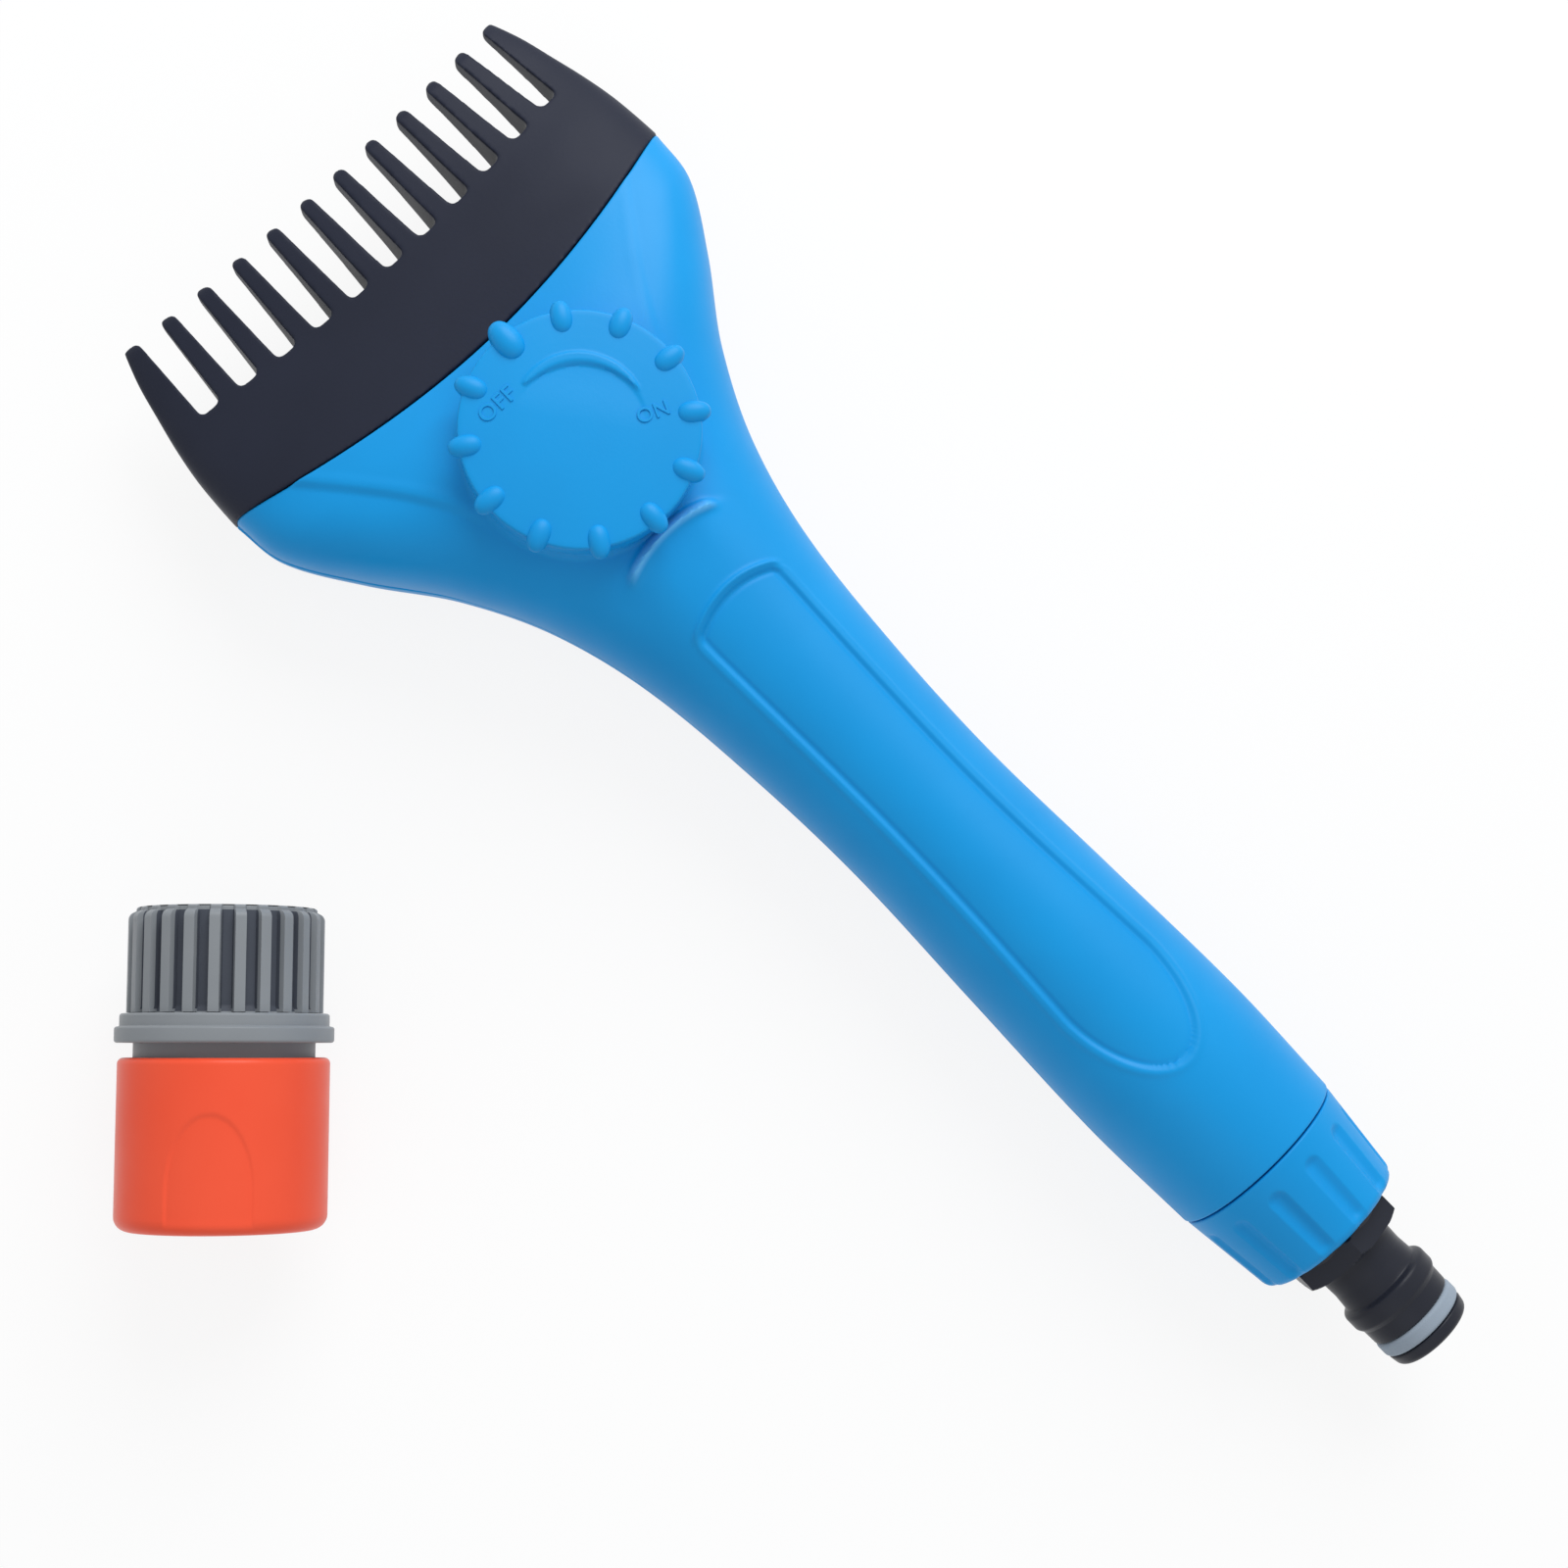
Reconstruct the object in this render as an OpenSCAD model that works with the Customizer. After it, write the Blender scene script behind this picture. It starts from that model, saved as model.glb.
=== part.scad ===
/* [Body] */
// Height of the parting plane and of the handle's axis above the table
axis_z = 17; // [16.5:0.1:17.2]
// Wall of the two moulded shells
wall = 2.6; // [2:0.1:3]
// Width of the head at its shoulders, beside the comb seam
head_w = 99; // [93:1:105]
// Height of the head above the parting plane, under the dial
head_up = 18.4; // [17.8:0.1:19]
// Height of the head's edge above the parting plane, at the comb seam
seam_up = 14.2; // [13.6:0.1:15]
// Distance of the comb seam's ends from the dial axis, toward the comb
seam_y = 31.5; // [30.5:0.1:33]
// How far the seam bows toward the handle on the middle line
seam_bow = 8.7; // [7.5:0.1:9.2]
// Diameter of the handle at its narrow neck
neck_d = 31.2; // [30.5:0.1:33]
// Diameter of the handle at its fullest place in the palm
grip_d = 34.6; // [33.4:0.1:35.6]
// Diameter of the handle's end, beside the collar
tail_d = 33.2; // [33:0.1:34.4]
// Distance from the dial axis to the handle's end
handle_l = 164.6; // [158:1:175]

/* [Shell screws] */
// Shank diameter of the screws that close the shells
screw_d = 3; // [2.6:0.1:3.2]
// Head diameter of those screws
screw_head_d = 5.4; // [5:0.1:5.8]
// Diameter of the screw bosses
boss_d = 6.8; // [6.6:0.1:7.2]

/* [Dial and stem] */
// Diameter of the dial's disc
dial_d = 39.6; // [38:0.2:41]
// Height of the dial's rim above the table
dial_rim_z = 41; // [40.4:0.1:42]
// Height of the dial disc's side wall
dial_h = 4.4; // [4:0.1:4.8]
// Rise of the dial's domed top over its rim
dial_dome = 0.9; // [0.5:0.1:1.4]
// Number of grip nubs round the dial
nub_n = 12; // [8:1:14]
// Radial length of a nub
nub_l = 6.1; // [5.4:0.1:6.8]
// Width of a nub
nub_w = 3.6; // [3:0.1:4]
// Diameter of the valve stem
stem_d = 7; // [6.4:0.1:7.4]
// Diameter of the keyed stem end inside the dial's hub
key_d = 6; // [5.4:0.1:6.2]
// Diameter of the dial's hub
hub_d = 12; // [11:0.2:12.6]

/* [Valve] */
// Outer diameter of the valve housing
housing_d = 26; // [25.4:0.2:26.4]
// Inner diameter of the housing where the port disc turns
chamber_d = 22; // [21.4:0.1:22.2]
// Thickness of the seat plate
seat_t = 1.5; // [1.2:0.1:1.8]
// Thickness of the stem's port disc
disc_t = 2; // [1.6:0.1:2.2]
// Radius on which the port and the crescent slot lie
port_r = 6.4; // [6.2:0.1:6.6]
// Diameter of the port in the seat plate
port_d = 4.4; // [3.6:0.1:4.6]

/* [Comb] */
// Distance of the outer tooth tips from the dial axis
tip_y = 66; // [64:0.5:70]
// Width of the comb at its tips
tip_w = 85.2; // [85:0.2:88]
// Number of gaps between the teeth
gap_n = 11; // [9:1:11]
// Distance from gap to gap at the roots
root_pitch = 7.8; // [7.6:0.05:7.9]
// Distance from gap to gap at the tips
tip_pitch = 7.47; // [7.3:0.01:7.6]
// Width of a gap at its root
root_gap = 4.1; // [3.6:0.1:4.4]
// Width of a gap at its mouth, before the tips round off
tip_gap = 4.9; // [4.5:0.1:5.1]
// Distance of the outer gap roots from the dial axis
root_y = 47.9; // [47.5:0.1:49]
// Diameter of the nozzle holes at the gap roots
nozzle_d = 1.6; // [1.2:0.1:2]
// How far the comb's middle arches up at the tips
arch = 6; // [4:0.5:6.5]

/* [Water way] */
// Outer diameter of the supply tube
tube_d = 11; // [10.4:0.1:11.2]
// Inner diameter of the supply tube
tube_bore = 8.2; // [8:0.1:8.6]
// Height of the valve's inlet above the table
inlet_z = 9.2; // [9.1:0.1:9.6]
// Radius of the supply tube's bends
tube_bend_r = 60; // [55:1:66]

/* [Collar and nipple] */
// Diameter of the collar at the handle
collar_d = 32.2; // [31.6:0.1:32.6]
// Diameter of the collar at its free end
collar_end_d = 29.4; // [28.8:0.1:30.4]
// Length of the collar
collar_l = 17.6; // [17:0.1:18.4]
// Number of ribs on the collar
collar_rib_n = 12; // [8:1:16]
// Diameter of the threaded stretch that joins collar and nipple
thread_d = 20.9; // [20.4:0.1:21.2]
// Width across flats of the nipple's hexagon
hex_w = 19.6; // [19:0.1:21]
// Diameter of the nipple's neck
neck_pin_d = 15; // [14.6:0.1:15.4]
// Diameter of the nipple's ridge, which the coupling's claws hold
ridge_d = 17.5; // [17:0.1:17.8]
// Diameter of the nipple's front cylinder
front_d = 16; // [15.8:0.1:16.1]
// Diameter of the nipple's water bore
nipple_bore = 8; // [7:0.1:9]

/* [Hose coupling] */
// Length of the coupling
coupling_l = 52.5; // [51:0.5:56]
// Diameter of its flange, on which it lies
flange_d = 35.5; // [35:0.1:37]
// Diameter of the release sleeve
sleeve_d = 34.3; // [34:0.1:34.8]
// Length of the release sleeve
sleeve_l = 28; // [27:0.5:29]
// Travel of the release sleeve
sleeve_travel = 2; // [1.5:0.1:2.2]
// Inner diameter of the tap thread, a three quarter inch pipe thread
tap_d = 26.5; // [26.2:0.05:26.7]
// Outer diameter of the thread ring
ring_d = 29.3; // [29:0.1:30]
// Number of ribs on the thread ring
ring_rib_n = 24; // [16:1:30]
// Diameter of the socket that takes a nipple
socket_d = 16.4; // [16.3:0.05:16.6]
// Outer diameter of the inner tube
inner_tube_d = 11.3; // [10.6:0.1:12]
// Place of the coupling's middle, to the side of the dial axis
coupling_x = -113; // [-135:1:-90]
// Place of the coupling's middle along the handle
coupling_y = -33; // [-80:1:20]

/* [Hidden] */
$fn = 96;

// Clearances: running fit, seat between fixed pieces, cut overshoot
fit = 0.08;
seat = 0.15;
eps = 0.5;

// Stations of the body along Y: place at the side, half width, height above and below the
// parting plane, exponent of the rounded section, bow of the section's middle toward the handle
head_down = axis_z + 0.9;
seam_down = seam_up - 0.2;
body_stations = [
    [-handle_l, tail_d / 2, tail_d / 2, tail_d / 2, 2, 0],
    [-handle_l * 0.863, grip_d / 2, grip_d / 2, grip_d / 2, 2, 0],
    [-handle_l * 0.68, (grip_d + neck_d) / 4, (grip_d + neck_d) / 4, (grip_d + neck_d) / 4, 2, 0],
    [-handle_l * 0.51, neck_d / 2, neck_d / 2, neck_d / 2, 2, 0],
    [-60, neck_d / 2 + 0.9, neck_d / 2 + 0.5, neck_d / 2 + 0.8, 2.05, 0],
    [-36, neck_d / 2 + 3.4, neck_d / 2 + 1.5, axis_z + 0.3, 2.15, 0],
    [-18, head_w / 2 - 25.7, head_up - 0.3, head_down, 2.3, 0],
    [-3, head_w / 2 - 18.2, head_up, head_down, 2.5, 0.6],
    [10, head_w / 2 - 8.7, head_up - 0.4, head_down - 0.3, 2.6, 3],
    [22, head_w / 2 - 1.4, seam_up + 2, seam_down + 1.8, 2.65, 6.3],
    [seam_y, head_w / 2, seam_up, seam_down, 2.7, seam_bow]];
// Columns of that table
half_c = 1;
up_c = 2;
down_c = 3;
expo_c = 4;
bow_c = 5;
arch_c = 6;

// Stations of the comb, with the arch of its middle as a last column
comb_l = tip_y - seam_y;
comb_stations = [
    [seam_y, head_w / 2, seam_up, seam_down, 2.7, seam_bow, 0],
    [seam_y + comb_l * 0.13, head_w / 2 - 0.2, seam_up - 1.7, seam_down - 1.6, 2.7, 7.4, arch * 0.1],
    [seam_y + comb_l * 0.3, head_w / 2 - 0.7, seam_up - 4.6, seam_down - 4.6, 2.8, 5.6, arch * 0.37],
    [seam_y + comb_l * 0.48, head_w / 2 - 1.8, seam_up - 7.6, seam_down - 8.2, 3, 4.2, arch * 0.6],
    [seam_y + comb_l * 0.65, tip_w / 2 + 3.7, 4.6, 3.6, 3.2, 3.7, arch * 0.78],
    [seam_y + comb_l * 0.83, tip_w / 2 + 2.1, 3.4, 2.6, 3.4, 3.4, arch * 0.92],
    [tip_y, tip_w / 2, 2.4, 2, 3.4, 3.2, arch]];

// Smooth curve through one column of a station table
function slope_at(t, i, c) =
    let (a = max(i - 1, 0), b = min(i + 1, len(t) - 1))
    (t[b][c] - t[a][c]) / (t[b][0] - t[a][0]);
function span_of(t, s, i = 0) = (i >= len(t) - 2 || s <= t[i + 1][0]) ? i : span_of(t, s, i + 1);
function curve(t, s, c) =
    let (i = span_of(t, s), h = t[i + 1][0] - t[i][0], u = (s - t[i][0]) / h)
    (2 * u * u * u - 3 * u * u + 1) * t[i][c] + (u * u * u - 2 * u * u + u) * h * slope_at(t, i, c)
    + (3 * u * u - 2 * u * u * u) * t[i + 1][c] + (u * u * u - u * u) * h * slope_at(t, i + 1, c);

// A point of the section at station s, at angle a, with the surface moved in by inset
function power_of(v, e) = sign(v) * pow(abs(v), e);
function skin_point(t, s, a, inset) =
    let (half = curve(t, s, half_c), e = 2 / curve(t, s, expo_c),
        tall = curve(t, s, sin(a) > 0 ? up_c : down_c),
        x = (half - inset) * power_of(cos(a), e),
        m = 1 - pow(x / half, 2),
        lift = len(t[0]) > arch_c ? curve(t, s, arch_c) * m : 0,
        z = axis_z + lift + (tall - inset) * power_of(sin(a), e))
    [x, s - curve(t, s, bow_c) * m, max(z, inset)];

// Bands of faces between rings of n points each; loop closes every ring
function bands(rings, n) = [for (i = [0 : rings - 2], k = [0 : n - 1])
    let (a = i * n + k, b = i * n + (k + 1) % n)
    each [[a, b, b + n], [a, b + n, a + n]]];

// Half shell between the skin and its inner surface, side = 1 for the upper one
shell_rings = 46;
arc_steps = 26;
module half_shell(side) {
    n = 2 * (arc_steps + 1);
    ring = function (s) [
        for (k = [0 : arc_steps]) skin_point(body_stations, s, side * 180 * k / arc_steps, 0),
        for (k = [arc_steps : -1 : 0]) skin_point(body_stations, s, side * 180 * k / arc_steps, wall)];
    pts = [for (i = [0 : shell_rings - 1])
        each ring(-handle_l + (handle_l + seam_y) * i / (shell_rings - 1))];
    rim = [for (k = [0 : arc_steps - 1]) each [[k, n - 1 - k, n - 2 - k], [k, n - 2 - k, k + 1]]];
    last = (shell_rings - 1) * n;
    far_rim = [for (f = rim) [f[0] + last, f[2] + last, f[1] + last]];
    faces = concat(bands(shell_rings, n), rim, far_rim);
    polyhedron(pts, side > 0 ? faces : [for (f = faces) [f[0], f[2], f[1]]]);
}

// Screw places, seen from above, with the reach of their bosses from the parting plane
screw_spots = [[26, 4, 12.6], [neck_d / 2 - 3.6, -40, 7.6], [grip_d / 2 - 5.9, -handle_l * 0.82, 7.6]];
comb_screw_spot = [head_w / 2 - 17.5, 22.2];
well_floor = axis_z - 5;
bore_reach = 6.6;
module at_spots(spots) {
    for (p = spots, side = [-1, 1])
        translate([side * p[0], p[1], 0])
            children();
}
module shell_bosses(up) {
    for (p = screw_spots, side = [-1, 1])
        translate([side * p[0], p[1], up > 0 ? axis_z : axis_z - p[2]])
            cylinder(d = boss_d, h = p[2]);
}
module bar_z(d, low, high) {
    translate([0, 0, low])
        cylinder(d = d, h = high - low);
}
module bar_y(d, from, to, z) {
    translate([0, from, z])
        rotate([-90, 0, 0])
            cylinder(d = d, h = to - from);
}
module block(low, high) {
    translate(low)
        cube(high - low);
}

// Round platform under the dial
platform_d = dial_d - 1.4;
platform_z = dial_rim_z - dial_h - 0.4;
hub_hole_d = hub_d + 0.8;

module upper_shell() {
    color("dodgerblue")
        difference() {
            union() {
                half_shell(1);
                bar_z(platform_d, axis_z + head_up - wall - 1.6, platform_z);
                shell_bosses(1);
            }
            bar_z(hub_hole_d, axis_z, platform_z + eps);
            at_spots(screw_spots)
                bar_z(screw_d + 2 * fit, axis_z - eps, axis_z + bore_reach);
        }
}

// Ring under the valve housing, posts under the supply tube and behind the manifold cover
housing_z = 4;
post_w = 5;
post_t = 2;
tube_posts = [-handle_l * 0.6, -handle_l * 0.78];
cover_y = 14.8;
cover_post_x = 21;
spigot_z = [10.6, 25.8];
comb_boss_top = spigot_z[0] - seat;
comb_boss_floor = 2;

module lower_shell() {
    color("dodgerblue")
        difference() {
            union() {
                half_shell(-1);
                shell_bosses(-1);
                at_spots([comb_screw_spot])
                    bar_z(boss_d, axis_z - seam_down + wall - 1.4, comb_boss_top);
                bar_z(housing_d - 5, wall - 0.6, housing_z);
                for (y = tube_posts)
                    block([-post_w / 2, y - post_t / 2, 1.5],
                        [post_w / 2, y + post_t / 2, axis_z - tube_d / 2 - seat]);
                for (side = [-1, 1])
                    block([side * cover_post_x - post_w / 2, cover_y - seat - post_t, 1.5],
                        [side * cover_post_x + post_w / 2, cover_y - seat, axis_z]);
            }
            at_spots(screw_spots)
                bar_z(screw_head_d + 0.4, -eps, well_floor);
            at_spots(screw_spots)
                bar_z(screw_d + 2 * fit, 0, axis_z + eps);
            at_spots([comb_screw_spot])
                bar_z(screw_head_d + 0.4, -eps, comb_boss_top - comb_boss_floor);
            at_spots([comb_screw_spot])
                bar_z(screw_d + 2 * fit, 0, comb_boss_top + eps);
        }
}

// Pan head screw with a cross recess, its head's face at z = 0 and its shank upward
screw_l = 11;
screw_head_h = 1.9;
module screw(shank_d, head_d, head_h, l) {
    difference() {
        union() {
            bar_z(head_d, -head_h, 0);
            bar_z(shank_d, -0.1, l);
        }
        for (a = [0, 90])
            rotate([0, 0, a])
                block([-head_d * 0.3, -0.35, -head_h - eps], [head_d * 0.3, 0.35, -head_h + 0.9]);
    }
}

module shell_screws() {
    color("silver")
        at_spots(screw_spots)
            translate([0, 0, well_floor])
                screw(screw_d, screw_head_d, screw_head_h, screw_l);
}

module comb_screws() {
    color("silver")
        at_spots([comb_screw_spot])
            translate([0, 0, comb_boss_top - comb_boss_floor])
                screw(screw_d, screw_head_d, screw_head_h, screw_l);
}

// Closed loft of the comb's skin from the seam to the tips
comb_rings = 15;
half_steps = 30;
module comb_skin() {
    n = 2 * half_steps;
    start = seam_y + seat;
    pts = [for (i = [0 : comb_rings - 1], k = [0 : n - 1])
        skin_point(comb_stations, start + (tip_y - start) * i / (comb_rings - 1), 180 * k / half_steps, 0)];
    cap = [for (k = [1 : half_steps - 2]) each [[k, n - k, n - k - 1], [k, n - k - 1, k + 1]]];
    ends = [[0, n - 1, 1], [half_steps - 1, half_steps + 1, half_steps]];
    last = (comb_rings - 1) * n;
    near = concat(cap, ends);
    far = [for (f = near) [f[0] + last, f[2] + last, f[1] + last]];
    polyhedron(pts, concat(bands(comb_rings, n), near, far));
}

// Outline of one gap with a rounded root; its mouth flares round the two tips beside it
function arc(cx, cy, r, from, to, steps = 6) =
    [for (k = [0 : steps]) let (a = from + (to - from) * k / steps) [cx + r * cos(a), cy + r * sin(a)]];
root_round = 1.2;
module gap_outline(depth) {
    h = root_gap / 2 - root_round;
    r = (tip_pitch - tip_gap) / 2;
    right = concat(
        arc(h, root_round, root_round, 270, 360),
        arc(tip_gap / 2 + r, depth - r, r, 180, 90),
        [[tip_gap / 2 + r, depth + 8]]);
    n = len(right);
    left = [for (k = [n - 1 : -1 : 0]) [-right[k][0], right[k][1]]];
    polygon(concat(right, left));
}

// Middle line of gap k: its root's place, and its lean toward the middle
function gap_x(k) = (k - (gap_n - 1) / 2) * root_pitch;
gap_half = head_w / 2 - 8.7;
root_sag = 4;
tip_sag = 2.8;
function gap_y(k) = root_y - root_sag * (1 - pow(gap_x(k) / gap_half, 2));
function tip_line(x) = tip_y - tip_sag * (1 - pow(x / (tip_w / 2), 2));
function gap_lean(k) = atan(gap_x(k) * (1 - tip_pitch / root_pitch) / (tip_y - root_y));

// Water chamber in the comb and the spigot round it
pocket_x = head_w / 2 - 20.9;
spigot_x = head_w / 2 - 14.3;
pocket_z = [12.4, 24.1];
chamber_z = [14.8, 23.4];
chamber_y = 24.4;
pocket_y = 38.5;
gallery_y = 31.5;
gallery_x = (gap_n - 1) / 2 * root_pitch + 1;
gallery_h = 4;
spigot_y = 18.5;
nozzle_z = axis_z + 2;
module comb() {
    color("#2c2e38")
        difference() {
            union() {
                comb_skin();
                block([-spigot_x, spigot_y, spigot_z[0]], [spigot_x, seam_y + 3, spigot_z[1]]);
            }
            for (k = [0 : gap_n - 1])
                translate([gap_x(k), gap_y(k), -eps])
                    rotate([0, 0, gap_lean(k)])
                        linear_extrude(50)
                            gap_outline(tip_line(gap_x(k)) - gap_y(k));
            block([-pocket_x, spigot_y - eps, pocket_z[0]], [pocket_x, chamber_y, pocket_z[1]]);
            block([-pocket_x, chamber_y - eps, chamber_z[0]], [pocket_x, pocket_y, chamber_z[1]]);
            block([-gallery_x, gallery_y, nozzle_z - gallery_h / 2],
                [gallery_x, pocket_y, nozzle_z + gallery_h / 2]);
            for (k = [0 : gap_n - 1])
                translate([gap_x(k), 0, 0])
                    bar_y(nozzle_d, pocket_y - eps, root_y + eps, nozzle_z);
            at_spots([comb_screw_spot])
                bar_z(screw_d + 2 * fit, 0, axis_z + 4.5);
        }
}

// Gasket and cover behind the spigot, with the socket for the valve's outlet
gasket_t = 1.2;
cover_t = spigot_y - gasket_t - cover_y;
outlet_z = 18.3;
outlet_d = 8;
outlet_bore = 4;
socket_wall = 1.6;
module manifold_gasket() {
    color("dimgray")
        difference() {
            block([-spigot_x, spigot_y - gasket_t, spigot_z[0]], [spigot_x, spigot_y, spigot_z[1]]);
            block([-pocket_x, spigot_y - gasket_t - eps, pocket_z[0]],
                [pocket_x, spigot_y + eps, pocket_z[1]]);
        }
}

socket_l = 5;
socket_end = spigot_y + socket_l;
ring_groove_y = 20;
ring_t = 1.2;
module manifold_cover() {
    color("gainsboro")
        difference() {
            union() {
                block([-spigot_x, cover_y, spigot_z[0]], [spigot_x, cover_y + cover_t, spigot_z[1]]);
                bar_y(outlet_d + 2 * socket_wall, cover_y + eps, socket_end, outlet_z);
            }
            bar_y(outlet_d + 2 * fit, cover_y - eps, socket_end + eps, outlet_z);
        }
}

module outlet_o_ring() {
    color("#202020")
        translate([0, ring_groove_y + ring_t / 2, outlet_z])
            rotate([90, 0, 0])
                rotate_extrude()
                    translate([outlet_d / 2 - ring_t / 2, 0])
                        circle(d = ring_t, $fn = 24);
}

// Valve, from the floor up: lower chamber, seat plate, port disc, upper chamber, cap
floor_t = 2.2;
seat_z = 12.6;
seat_ledge_d = chamber_d - 2.4;
disc_z = seat_z + seat_t + 0.05;
cap_z = 22;
housing_top = cap_z + 3.5;
barb_start = -housing_d / 2 + 1;
barb_end = -housing_d / 2 - 12;
barb_d = tube_bore - 0.1;
inlet_bore = 5.6;
lug_r = 14.6;
lug_d = 6;
cap_screw_d = 2.4;
cap_screw_head_d = 4.4;
cap_screw_head_h = 1.5;
cap_screw_l = 8;
module at_lugs() {
    for (a = [45 : 90 : 315])
        rotate([0, 0, a])
            translate([lug_r, 0, 0])
                children();
}

module valve_housing() {
    color("whitesmoke")
        difference() {
            union() {
                bar_z(housing_d, housing_z, housing_top);
                at_lugs()
                    bar_z(lug_d, housing_top - 8, housing_top);
                bar_y(barb_d, barb_end, barb_start, inlet_z);
                bar_y(outlet_d, housing_d / 2 - 2, socket_end - 1, outlet_z);
            }
            bar_z(seat_ledge_d, housing_z + floor_t, seat_z + eps);
            bar_z(chamber_d, seat_z, housing_top + eps);
            bar_y(inlet_bore, barb_end - eps, 0, inlet_z);
            bar_y(outlet_bore, 0, socket_end, outlet_z);
            at_lugs()
                bar_z(cap_screw_d + 2 * fit, housing_top - 7, housing_top + eps);
            translate([0, ring_groove_y, outlet_z])
                rotate([-90, 0, 0])
                    difference() {
                        cylinder(d = outlet_d + 2, h = ring_t);
                        translate([0, 0, -eps])
                            cylinder(d = outlet_d - 2 * ring_t, h = ring_t + 2 * eps);
                    }
        }
}

port_angle = 0;
module valve_seat() {
    color("ivory")
        difference() {
            bar_z(chamber_d - 2 * fit, seat_z, seat_z + seat_t);
            rotate([0, 0, port_angle])
                translate([port_r, 0, 0])
                    bar_z(port_d, seat_z - eps, seat_z + seat_t + eps);
        }
}

// Crescent slot, a row of holes that grow along the arc and run into each other
crescent_sweep = 126;
crescent_steps = 18;
slot_tail_d = 1.4;
stem_top = dial_rim_z - 2.6;
key_z = platform_z - 2;
shoulder_t = 1.5;
module valve_stem() {
    color("darkorange")
        difference() {
            union() {
                bar_z(chamber_d - 2 * fit, disc_z, disc_z + disc_t);
                bar_z(stem_d, disc_z + 0.5, key_z);
                bar_z(stem_d + 3, cap_z - 0.1 - shoulder_t, cap_z - 0.1);
                intersection() {
                    bar_z(key_d, key_z - eps, stem_top);
                    block([-key_d / 2 - 1, -key_d / 2 - 1, key_z - eps],
                        [key_d / 2 + 1, key_d / 2 - 1, stem_top]);
                }
            }
            for (k = [0 : crescent_steps])
                rotate([0, 0, port_angle - 26 + crescent_sweep * k / crescent_steps])
                    translate([port_r, 0, 0])
                        bar_z(port_d - (port_d - slot_tail_d) * k / crescent_steps,
                            disc_z - eps, disc_z + disc_t + eps);
        }
}

gland_z = cap_z + 1.2;
gland_t = 1.9;
cap_plate = 2;
module stem_o_ring() {
    color("#202020")
        translate([0, 0, gland_z + gland_t / 2])
            rotate_extrude()
                translate([stem_d / 2 + fit + gland_t / 2, 0])
                    circle(d = gland_t, $fn = 24);
}

module valve_cap() {
    color("whitesmoke")
        difference() {
            union() {
                bar_z(chamber_d - 2 * fit, cap_z, housing_top + eps);
                bar_z(housing_d, housing_top, housing_top + cap_plate);
                at_lugs()
                    bar_z(lug_d, housing_top, housing_top + cap_plate);
            }
            bar_z(stem_d + 2 * fit, cap_z - eps, housing_top + cap_plate + eps);
            bar_z(stem_d + 2 * (fit + gland_t), gland_z, gland_z + gland_t);
            at_lugs()
                bar_z(cap_screw_d + 2 * fit, housing_top - eps, housing_top + cap_plate + eps);
        }
}

module cap_screws() {
    color("silver")
        at_lugs()
            translate([0, 0, housing_top + cap_plate])
                mirror([0, 0, 1])
                    screw(cap_screw_d, cap_screw_head_d, cap_screw_head_h, cap_screw_l);
}

// Dial: a hollow cap with a keyed hub, the nubs lie radially on its rim
dial_wall = 2.2;
hub_low = platform_z - 5.6;
big_nub_angle = 85.3;
dome_r = (pow(dial_d / 2, 2) + pow(dial_dome, 2)) / (2 * dial_dome);
dial_side = dial_rim_z - dial_h;
nub_r = dial_d / 2 - 1.15;
module nub(l, w) {
    steps = 6;
    rotate([0, 90, 0])
        rotate_extrude($fn = 24)
            polygon([for (k = [0 : steps])
                let (a = -90 + 180 * k / steps) [w / 2 * cos(a), l / 2 * sin(a)]]);
}

module dial() {
    color("deepskyblue")
        difference() {
            union() {
                difference() {
                    union() {
                        rotate_extrude()
                            polygon(concat(
                                [[0, dial_side], [dial_d / 2, dial_side], [dial_d / 2, dial_rim_z - 0.8]],
                                [for (k = [0 : 4]) let (a = 90 * k / 4)
                                    [dial_d / 2 - 0.8 + 0.8 * cos(a), dial_rim_z - 0.8 + 0.8 * sin(a)]],
                                [for (k = [1 : 12]) let (r = (dial_d / 2 - 0.8) * (1 - k / 12))
                                    [r, dial_rim_z + dial_dome - dome_r + sqrt(dome_r * dome_r - r * r)]]));
                        for (k = [1 : nub_n - 1])
                            rotate([0, 0, big_nub_angle + 360 * k / nub_n])
                                translate([nub_r, 0, dial_rim_z - 0.6])
                                    nub(nub_l, nub_w);
                        rotate([0, 0, big_nub_angle])
                            translate([nub_r, 0, dial_rim_z - 0.6])
                                nub(nub_l * 1.3, nub_w * 1.3);
                    }
                    bar_z(dial_d - 2 * dial_wall, dial_side - 2, dial_rim_z - dial_wall);
                }
                bar_z(hub_d, hub_low, dial_rim_z - dial_wall + eps);
            }
            bar_z(stem_d + 2 * fit, hub_low - eps, key_z + 0.2);
            intersection() {
                bar_z(key_d + 2 * fit, key_z, stem_top + 0.2);
                block([-key_d, -key_d, key_z], [key_d, key_d / 2 - 1 + fit, stem_top + 0.2]);
            }
        }
}

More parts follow.
